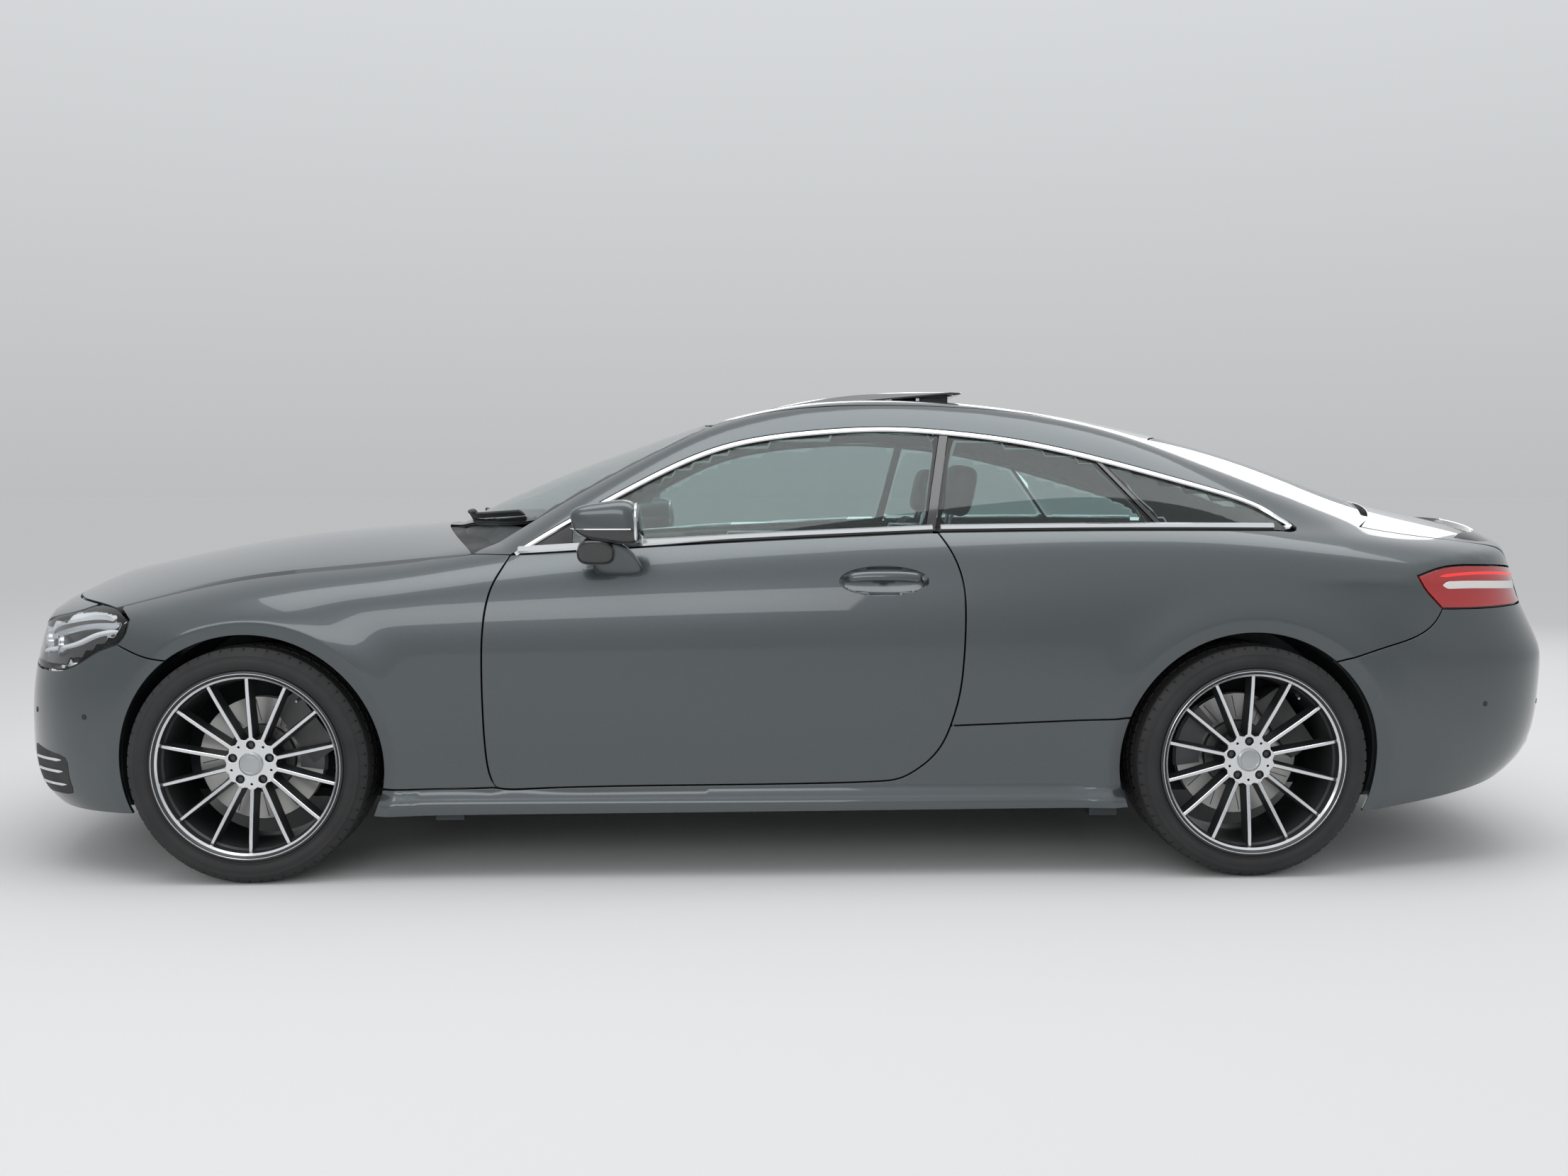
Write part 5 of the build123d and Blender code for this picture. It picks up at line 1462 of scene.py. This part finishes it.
tail_ring = join(tail_heel, tail_below, lid_cheek[::-1], tail_above[::-1])
both(panel("tail_lamp_lens", REAR, tail_ring, red_glass, gap=0.004, edge=0.002, depth=0.006, sunk=0.0),
     "body", "lamp_red", "tail_lamps")
both(panel("tail_lamp_housing", REAR, tail_ring, lamp_black, gap=0.0005, edge=0.001, depth=0.030, sunk=0.008),
     "body", "black_trim")
band = onto(through((SIDE, 1.872, 0.842), (SIDE, 1.96, 0.842), (SIDE, 2.08, 0.838), (BACKWARD, -0.70, 0.834),
                    (BACKWARD, -0.640, 0.832)), REAR)
both(strip("tail_lamp_band", band, bar(0.022, 0.0016, -0.003), white_glass, fade=0.02), "body", "lamp_red")
line = onto(through((SIDE, 1.862, 0.868), (SIDE, 1.96, 0.874), (SIDE, 2.08, 0.872), (BACKWARD, -0.70, 0.866),
                    (BACKWARD, -0.640, 0.862)), REAR)
both(strip("tail_lamp_guide", line, bar(0.008, 0.0016, -0.003), finish("red_light_guide", (0.8, 0.03, 0.03),
                                                                       0.2, glow=0.4), fade=0.02), "body",
     "lamp_red")
lid_lamp = land(BACKWARD, rounded([(-0.432, 0.868), (-0.432, 0.806), (-0.602, 0.790), (-0.602, 0.872)],
                                  0.012))
lid_lens = panel("lid_lamp_lens", BACKWARD, lid_lamp, red_glass, gap=0.0, edge=0.0015, depth=0.008,
                 sunk=-0.002)
both(lid_lens, "boot_lid", "lamp_red")
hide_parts("boot_lamps")

# ------------------------------------------------------------------ nose: grille, intake, sensors
place(panel("grille_recess", FRONTAL, grille_ring, black_trim, gap=-0.006, edge=0.002, depth=0.012,
            sunk=0.050), "body", "black_trim", "grille")
place(strip("grille_frame", grille_ring, bar(0.014, -0.0012, -0.012), chrome, closed=True), "body", "chrome")
place(panel("intake_recess", FRONTAL, intake_ring, black_trim, gap=-0.006, edge=0.002, depth=0.012,
            sunk=0.055), "body", "black_trim")
for i, z in enumerate((0.562, 0.590)):
    span = run(FRONTAL, [(-0.385, z), (-0.2, z), (0, z), (0.2, z), (0.385, z)], 0.02)
    place(strip("grille_louvre_%d" % i, span - gradient(all_field, span) * 0.014, bar(0.013, 0.006, -0.008),
                chrome), "body", "chrome")
for i, z in enumerate((0.340, 0.312, 0.284)):
    reach = 0.60 if i < 2 else 0.585
    span = run(FRONTAL, [(-reach, z), (-0.3, z), (0, z), (0.3, z), (reach, z)], 0.03)
    place(strip("intake_fin_%d" % i, span - gradient(all_field, span) * 0.030, bar(0.008, 0.012, -0.012),
                black_gloss), "body", "black_trim")
PIN_PITCH = 0.028
rows = np.arange(0.462, 0.700, PIN_PITCH)
for i, z in enumerate(rows):
    half = np.interp(z, (0.44, 0.59, 0.712), (0.33, 0.395, 0.285))
    count = int(2 * half / PIN_PITCH)
    start = -PIN_PITCH * (count - 1) / 2 if i % 2 == 0 else -PIN_PITCH * (count - 2) / 2
    count = count if i % 2 == 0 else count - 1
    x = land(FRONTAL, (0, z))[0][0] + 0.046
    pin = turned_piece("grille_pins_%d" % i, [(0, 0.020), (0.0042, 0.017), (0.0048, 0.012), (0.003, 0.006),
                                              (0.003, 0), (0, 0)], rim_silver, (x, start, z), (-1, 0, 0), 10)
    place(repeated(pin, ROW, rim_silver, Count=count, Step=(0, PIN_PITCH, 0)), "body", "chrome")
for i, (view, u, v) in enumerate(((FRONTAL, -0.30, 0.405), (FRONTAL, -0.68, 0.47), (SIDE, -2.06, 0.47),
                                  (BACKWARD, -0.30, 0.47), (BACKWARD, -0.66, 0.47), (SIDE, 2.02, 0.49))):
    spot = land(view, (u, v))
    out = gradient(all_field, spot)[0]
    both(turned_piece("parking_sensor_%d" % i, [(0, 0.0012), (0.0080, 0.0010), (0.0088, -0.004), (0, -0.004)],
                      under_paint, spot[0], out, 24), "body", "paint")

# ------------------------------------------------------------------ mirrors and handles


def superform(name, centre, half, power, material, rows=18, cols=36, shape=None):
    """A rounded box-like closed form; shape moves its points afterwards."""
    verts, faces = [], []
    bend = lambda v, p: math.copysign(abs(v) ** p, v)
    for i in range(1, rows):
        f = -math.pi / 2 + math.pi * i / rows
        for j in range(cols):
            g = 2 * math.pi * j / cols
            verts.append(Vector((bend(math.cos(f), power) * bend(math.cos(g), power) * half[0],
                                 bend(math.cos(f), power) * bend(math.sin(g), power) * half[1],
                                 bend(math.sin(f), power) * half[2])))
    for i in range(rows - 2):
        for j in range(cols):
            k = (j + 1) % cols
            faces.append((i * cols + j, i * cols + k, (i + 1) * cols + k, (i + 1) * cols + j))
    verts += [Vector((0, 0, -half[2])), Vector((0, 0, half[2]))]
    low, high = len(verts) - 2, len(verts) - 1
    for j in range(cols):
        k = (j + 1) % cols
        faces += [(low, k, j), (high, (rows - 2) * cols + j, (rows - 2) * cols + k)]
    if shape:
        verts = [shape(v) for v in verts]
    verts = [v + Vector(centre) for v in verts]
    return outward(mesh_object(name, verts, faces, material), 60)


MIRROR = (-0.556, -0.938, 1.030)
MIRROR_SPLIT = 1.011


def mirror_taper(v):
    """Narrower towards its front and its outer end, with a flat back."""
    t = (v.x + 0.09) / 0.18
    return Vector((v.x + abs(v.y + 0.06) * 0.10 - v.z * 0.15, v.y * (0.72 + 0.28 * t),
                   v.z * (0.62 + 0.38 * t)))


def split(obj, name, z, material):
    """Cuts a closed piece at a height and closes both halves; gives the lower half a finish of its own."""
    lower = obj.copy()
    lower.data = obj.data.copy()
    bpy.context.scene.collection.objects.link(lower)
    lower.name = lower.data.name = name
    for piece, keep_top in ((obj, True), (lower, False)):
        bm = bmesh.new()
        bm.from_mesh(piece.data)
        cutter = bmesh.ops.bisect_plane(bm, geom=bm.verts[:] + bm.edges[:] + bm.faces[:], plane_co=(0, 0, z),
                                        plane_no=(0, 0, 1), clear_inner=keep_top, clear_outer=not keep_top)
        rim = [e for e in cutter["geom_cut"] if isinstance(e, bmesh.types.BMEdge)]
        bmesh.ops.edgeloop_fill(bm, edges=rim)
        bm.to_mesh(piece.data)
        bm.free()
        outward(piece, 50)
    lower.data.materials.clear()
    lower.data.materials.append(material)
    return obj, lower


cap_piece = superform("mirror_cap", MIRROR, (0.096, 0.068, 0.070), 0.55, paint, 24, 44, mirror_taper)
cap_piece, skirt_piece = split(cap_piece, "mirror_skirt", MIRROR_SPLIT, black_gloss)
both(cap_piece, "door_left", "paint", "mirror_left")
both(skirt_piece, "door_left", "black_trim")
glass_face = superform("mirror_glass", (MIRROR[0] + 0.088, MIRROR[1] + 0.002, MIRROR[2] - 0.002),
                       (0.007, 0.057, 0.056), 0.5, finish("mirror_silver", (0.8, 0.81, 0.82), 0.02, 1.0), 12,
                       32)
both(glass_face, "door_left", "glass")
belt = [(-0.652, -0.93, MIRROR_SPLIT), (-0.614, -0.992, MIRROR_SPLIT), (-0.54, -1.0035, MIRROR_SPLIT),
        (-0.480, -1.0, MIRROR_SPLIT)]
both(strip("mirror_strip", round_through(belt, 0.008), oval(0.007, 0.004, 8), chrome, (0, 0, 1)), "door_left",
     "chrome")


def foot_shape(v):
    """Leans back from the housing and rounds off towards its front."""
    return Vector((v.x * (1.0 - 0.25 * max(0, v.z / 0.04)), v.y - v.z * 0.35, v.z))


def leg_shape(v):
    """Flares backwards where it meets the door."""
    low = max(0, 0.5 - v.z / 0.11)
    return Vector((v.x * (0.62 + 0.40 * low) + 0.030 * low, v.y - v.z * 0.55, v.z))


both(superform("mirror_foot", (-0.584, -0.922, 0.948), (0.054, 0.036, 0.040), 0.6, black_gloss, 16, 32,
               foot_shape), "door_left", "black_trim")
both(superform("mirror_leg", (-0.548, -0.878, 0.920), (0.080, 0.030, 0.055), 0.7, paint, 16, 32, leg_shape),
     "door_left", "paint")

grip_z = HANDLE[1] + 0.006
spots = land(SIDE, [(0.126, grip_z - 0.001), (0.136, grip_z), (0.170, grip_z + 0.002),
                    (0.233, grip_z + 0.003), (0.300, grip_z + 0.002), (0.330, grip_z),
                    (0.341, grip_z - 0.001)])
lift = np.array([-0.002, 0.010, 0.020, 0.023, 0.020, 0.010, -0.002])[:, None]
grip = round_through(spots + gradient(all_field, spots) * lift, 0.006)
both(strip("door_handle", grip, oval(0.026, 0.013, 16), paint, (0, -1, 0.25), fade=0.02), "door_left",
     "paint")
lock = land(SIDE, (0.348, grip_z + 0.001))
both(turned_piece("handle_lock_cap", [(0, 0.010), (0.008, 0.009), (0.010, 0.004), (0.010, -0.012),
                                      (0, -0.012)], paint, lock[0], gradient(all_field, lock)[0], 24),
     "door_left", "paint")

# ------------------------------------------------------------------ tail: plate, tips, insert and lip
place(block("plate_recess", (TAIL - 0.021, -PLATE[0] - 0.003, PLATE[1] - 0.003),
            (TAIL - 0.0135, PLATE[0] + 0.003, PLATE[2] + 0.003), paint, 0.001), "body", "paint")
place(block("rear_plate", (TAIL - 0.013, -0.258, 0.503), (TAIL - 0.0105, 0.258, 0.612), plate_white, 0.001),
      "body", "black_trim")
both(strip("exhaust_tip", tip_ring, bar(0.016, 0.001, -0.030), chrome, closed=True), "body", "chrome")
both(panel("tip_throat", BACKWARD, tip_ring, lamp_black, gap=0.004, edge=0.001, depth=0.006, sunk=0.050),
     "body", "black_trim")
insert = land(BACKWARD, rounded([(-0.470, 0.304), (0.470, 0.304), (0.495, 0.362), (-0.495, 0.362)], 0.018))
place(panel("rear_insert", REAR, insert, black_trim, gap=0.0, edge=0.001, depth=0.008, sunk=-0.0008), "body",
      "black_trim")
lip_line = run(TOP, [(2.02, -0.640), (2.12, -0.585), (2.18, -0.46), (2.215, -0.25), (2.225, 0), (2.215, 0.25),
                     (2.18, 0.46), (2.12, 0.585), (2.02, 0.640)], 0.02)
place(strip("boot_lip", lip_line, [(-0.030, -0.001), (0.022, -0.001), (0.026, 0.012), (0.022, 0.014),
                                   (-0.026, 0.002)], black_gloss, fade=0.06), "boot_lid", "black_trim")

# ------------------------------------------------------------------ nose corners and wipers
corner = land(FRONTAL, rounded([(-0.655, 0.372), (-0.800, 0.350), (-0.795, 0.236), (-0.670, 0.228)], 0.022))
both(panel("corner_intake", FRONT, corner, black_trim, gap=0.0, edge=0.001, depth=0.010, sunk=-0.0008),
     "body", "black_trim")
for i, z in enumerate((0.262, 0.300, 0.334)):
    fin = onto(through((FRONTAL, -0.672, z), (FRONTAL, -0.73, z + 0.001), (FRONTAL, -0.785, z + 0.003)),
               FRONT)
    both(strip("corner_fin_%d" % i, fin, bar(0.009, 0.007, -0.004), chrome, fade=0.02), "body", "chrome")
for i, (inner_y, outer_y) in enumerate(((0.02, -0.60), (0.60, 0.05))):
    blade = through((FRONTAL, inner_y, 1.030), (FRONTAL, (inner_y + outer_y) / 2, 1.030),
                    (FRONTAL, outer_y, 1.044))
    place(strip("wiper_blade_%d" % i, blade, bar(0.010, 0.020, 0.001), black_trim, fade=0.02), "body",
          "black_trim")
    inner_half = blade[: len(blade) // 2 + 2]
    arm_line = inner_half + gradient(all_field, inner_half) * 0.014
    place(strip("wiper_arm_%d" % i, arm_line, bar(0.014, 0.016, 0.006), black_trim, fade=0.02), "body",
          "black_trim")

# ------------------------------------------------------------------ brake calipers
caliper_finish = grained("caliper_grey", (0.15, 0.15, 0.155), 0.42, 400, 0.0003, metal=0.4)
CALIPER = [(-0.046, -0.030), (-0.046, 0.038), (-0.038, 0.046), (0.038, 0.046), (0.046, 0.038),
           (0.046, -0.030), (0.024, -0.030), (0.024, 0.034), (-0.024, 0.034), (-0.024, -0.030)]
for corner_name, (centre, radius, width, out) in WHEELS.items():
    front = corner_name.startswith("front")
    heading = math.radians(20 if front else 160)
    swing = heading + np.radians(np.linspace(-30, 30, 15))
    radial = np.stack([np.cos(swing), 0 * swing, np.sin(swing)], 1)
    line = np.array(centre) + radial * 0.150 + np.array([0, out * DISC_Z, 0])
    obj = strip("caliper_" + corner_name, line, CALIPER, caliper_finish, radial)
    place(obj, "knuckle_" + corner_name if front else "body", "brake_iron")

# ------------------------------------------------------------------ front seats
SEAT = (0.020, -0.385)


def tilted(angle):
    """A shape function that leans a form back by an angle in degrees."""
    turn = Matrix.Rotation(math.radians(angle), 3, "Y")
    return lambda v: turn @ v


seat_parts = [
    superform("seat_cushion", (SEAT[0] + 0.005, SEAT[1], 0.418), (0.262, 0.165, 0.070), 0.42, leather, 16, 32,
              tilted(-6)),
    superform("seat_back", (SEAT[0] + 0.345, SEAT[1], 0.722), (0.062, 0.165, 0.315), 0.42, leather, 16, 32,
              tilted(22)),
    superform("seat_headrest", (SEAT[0] + 0.502, SEAT[1], 1.118), (0.044, 0.118, 0.080), 0.5, leather, 16, 32,
              tilted(12)),
]
for sgn in (-1, 1):
    seat_parts.append(superform("cushion_bolster", (SEAT[0], SEAT[1] + sgn * 0.188, 0.432),
                                (0.250, 0.036, 0.080), 0.5, leather, 14, 24, tilted(-6)))
    seat_parts.append(superform("back_bolster", (SEAT[0] + 0.318, SEAT[1] + sgn * 0.186, 0.700),
                                (0.072, 0.038, 0.270), 0.5, leather, 14, 24, tilted(22)))
    seat_parts.append(turned_piece("headrest_stalk", [(0, 0), (0.006, 0), (0.006, 0.10), (0, 0.10)],
                                   rim_silver, (SEAT[0] + 0.462, SEAT[1] + sgn * 0.045, 0.985),
                                   (0.25, 0, 0.97), 12))
seat_parts.append(block("seat_base", (SEAT[0] - 0.20, SEAT[1] - 0.16, 0.235),
                        (SEAT[0] + 0.22, SEAT[1] + 0.16, 0.36), cabin_dark, 0.01))
whole_seat = joined("front_seat", *seat_parts)
both(whole_seat, "body", "seat_leather", "front_seats")

# ------------------------------------------------------------------ raised glass roof panel
RAISED = math.radians(-3.3)
HINGE_AHEAD = 0.108
lid = panel("roof_glass_panel", TOP, opening_ring, roof_glass, gap=0.004, edge=0.002, depth=0.006, sunk=0.001)
hinge = Vector(land(TOP, (-HINGE_AHEAD, 0))[0])
lid.data.transform(Matrix.Translation(hinge) @ Matrix.Rotation(RAISED, 4, "Y") @ Matrix.Translation(-hinge))
place(lid, "body", "glass", "roof_panel")
seal_profile = [(-0.004, -0.020), (0.004, -0.020), (0.004, -0.001), (-0.004, -0.001)]
place(strip("roof_opening_seal", opening_ring, seal_profile, seal_rubber, (0, 0, 1), closed=True), "body",
      "black_trim")
frame_in = land(TOP, rounded([(-0.095, -0.405), (0.515, -0.405), (0.515, 0.405), (-0.095, 0.405)], 0.035,
                             0.012))
place(strip("roof_opening_frame", frame_in - [0, 0, 0.024], bar(0.030, 0.006, -0.010), black_trim, (0, 0, 1),
            closed=True), "body", "black_trim")
for side_of_car, tag in ((-1, "left"), (1, "right")):
    for i, x in enumerate((0.16, 0.44)):
        foot = land(TOP, (x, 0.392 * side_of_car))[0] - [0, 0, 0.018]
        rise = (x + HINGE_AHEAD) * math.tan(-RAISED) + 0.004
        arm = block("roof_panel_arm_%s_%d" % (tag, i), foot + [-0.045, -0.005, -0.004],
                    foot + [0.045, 0.005, rise], black_trim, 0.002)
        place(arm, "body", "black_trim")
    rail_points = run(TOP, [(0.02, 0.398 * side_of_car), (0.25, 0.400 * side_of_car),
                            (0.50, 0.398 * side_of_car)], 0.04)
    rail_points[:, 2] += (rail_points[:, 0] + HINGE_AHEAD) * math.tan(-RAISED) - 0.012
    place(strip("roof_panel_rail_" + tag, rail_points, bar(0.014, 0.006, -0.008), black_trim, (0, 0, 1),
                fade=0.02), "body", "black_trim")

# ------------------------------------------------------------------ solids that stay in sight
KEPT = {
    "engine_block": alloy, "front_subframe": steel, "rear_subframe": steel, "undertray": under_seal,
    "dashboard": cabin_dark, "steering_wheel": leather, "centre_console": cabin_dark, "rear_seat": leather,
    "knuckle_front_left": carrier_iron, "knuckle_front_right": carrier_iron,
    "knuckle_rear_left": carrier_iron,
    "knuckle_rear_right": carrier_iron,
}
for node, material in KEPT.items():
    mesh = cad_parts[node].data
    mesh.materials.clear()
    mesh.materials.append(material)


def pressed(node, material, clear=0.016, slot="paint"):
    """A solid of the inner body as a piece of its own, drawn in under the outer panels near them."""
    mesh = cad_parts[node].data.copy()
    points = np.empty(len(mesh.vertices) * 3)
    mesh.vertices.foreach_get("co", points)
    points = points.reshape(-1, 3)
    near = (all_field(points) > -clear) & (points[:, 2] > 0.19)
    for _ in range(6):
        moved = points[near]
        moved -= gradient(all_field, moved) * np.maximum(all_field(moved) + clear, 0)[:, None]
        points[near] = moved
    mesh.vertices.foreach_set("co", points.ravel())
    mesh.update()
    obj = linked("inner_" + node, mesh)
    mesh.materials.clear()
    mesh.materials.append(material)
    return place(obj, "body", slot, node)


PRESSED = {"body_shell": under_paint, "front_frame": under_paint, "rear_frame": under_paint,
           "floor_pan": under_seal}
for node, material in PRESSED.items():
    pressed(node, material)
pressed("exhaust", steel, 0.030, "chrome")

# ------------------------------------------------------------------ scene
floor_colour = finish("pale_floor", (0.70, 0.70, 0.70), 0.9)


def plane(name, corners, material):
    obj = mesh_object(name, [Vector(c) for c in corners], [(0, 1, 2, 3)], material)
    return obj


plane("floor", [(-400, -400, 0), (400, -400, 0), (400, 400, 0), (-400, 400, 0)], floor_colour)
world = bpy.data.worlds.new("studio")
bpy.context.scene.world = world
world.use_nodes = True
tree = world.node_tree
tree.nodes.clear()
HORIZON, UPPER = (0.503, 0.515, 0.527, 1), (0.80, 0.82, 0.84, 1)
direction = wired(tree, "ShaderNodeTexCoord").outputs["Generated"]
height = wired(tree, "ShaderNodeSeparateXYZ", {0: direction}).outputs["Z"]
share = wired(tree, "ShaderNodeMapRange", {"Value": height, "From Min": 0.0,
                                           "From Max": 0.55}).outputs["Result"]
shade = wired(tree, "ShaderNodeMix", {0: share, 6: HORIZON, 7: UPPER}, data_type="RGBA").outputs[2]
seen = wired(tree, "ShaderNodeBackground", {"Color": shade})
soft = wired(tree, "ShaderNodeBackground", {"Color": (0.96, 0.98, 1.0, 1), "Strength": 0.72})
rays = wired(tree, "ShaderNodeLightPath").outputs
backdrop = wired(tree, "ShaderNodeMath", {0: rays["Is Camera Ray"], 1: rays["Is Glossy Ray"]},
                 operation="MAXIMUM")
backdrop = wired(tree, "ShaderNodeMath", {0: backdrop.outputs[0], 1: rays["Is Transmission Ray"]},
                 operation="MAXIMUM")
mix = wired(tree, "ShaderNodeMixShader", {0: backdrop.outputs[0], 1: soft.outputs[0], 2: seen.outputs[0]})
wired(tree, "ShaderNodeOutputWorld", {"Surface": mix.outputs[0]})


def softbox(name, location, target, size, power, colour=(1, 1, 1)):
    light = bpy.data.lights.new(name, "AREA")
    light.shape, light.size, light.size_y, light.energy, light.color = "RECTANGLE", *size, power, colour
    obj = linked(name, light)
    obj.location = location
    obj.rotation_euler = (Vector(target) - Vector(location)).to_track_quat("-Z", "Y").to_euler()


softbox("overhead_softbox", (0.3, -1.2, 4.8), (0, 0, 0.6), (7.5, 3.0), 150)
softbox("side_softbox", (-2.5, -8.0, 3.4), (0, 0, 0.7), (7.0, 2.2), 110)
softbox("far_softbox", (2.5, 6.5, 3.8), (0, 0, 0.7), (7.0, 2.4), 110)

camera = bpy.data.cameras.new("camera")
camera.lens, camera.sensor_width = 31.56, 36
eye = linked("camera", camera)
eye.location = (-0.1804, -4.8007, 1.1106)
YAW, PITCH = 0.0324, -0.0689
look = Vector((math.sin(YAW) * math.cos(PITCH), math.cos(YAW) * math.cos(PITCH), math.sin(PITCH)))
eye.rotation_euler = look.to_track_quat("-Z", "Y").to_euler()
bpy.context.scene.camera = eye
bpy.context.scene.view_settings.view_transform = "Standard"
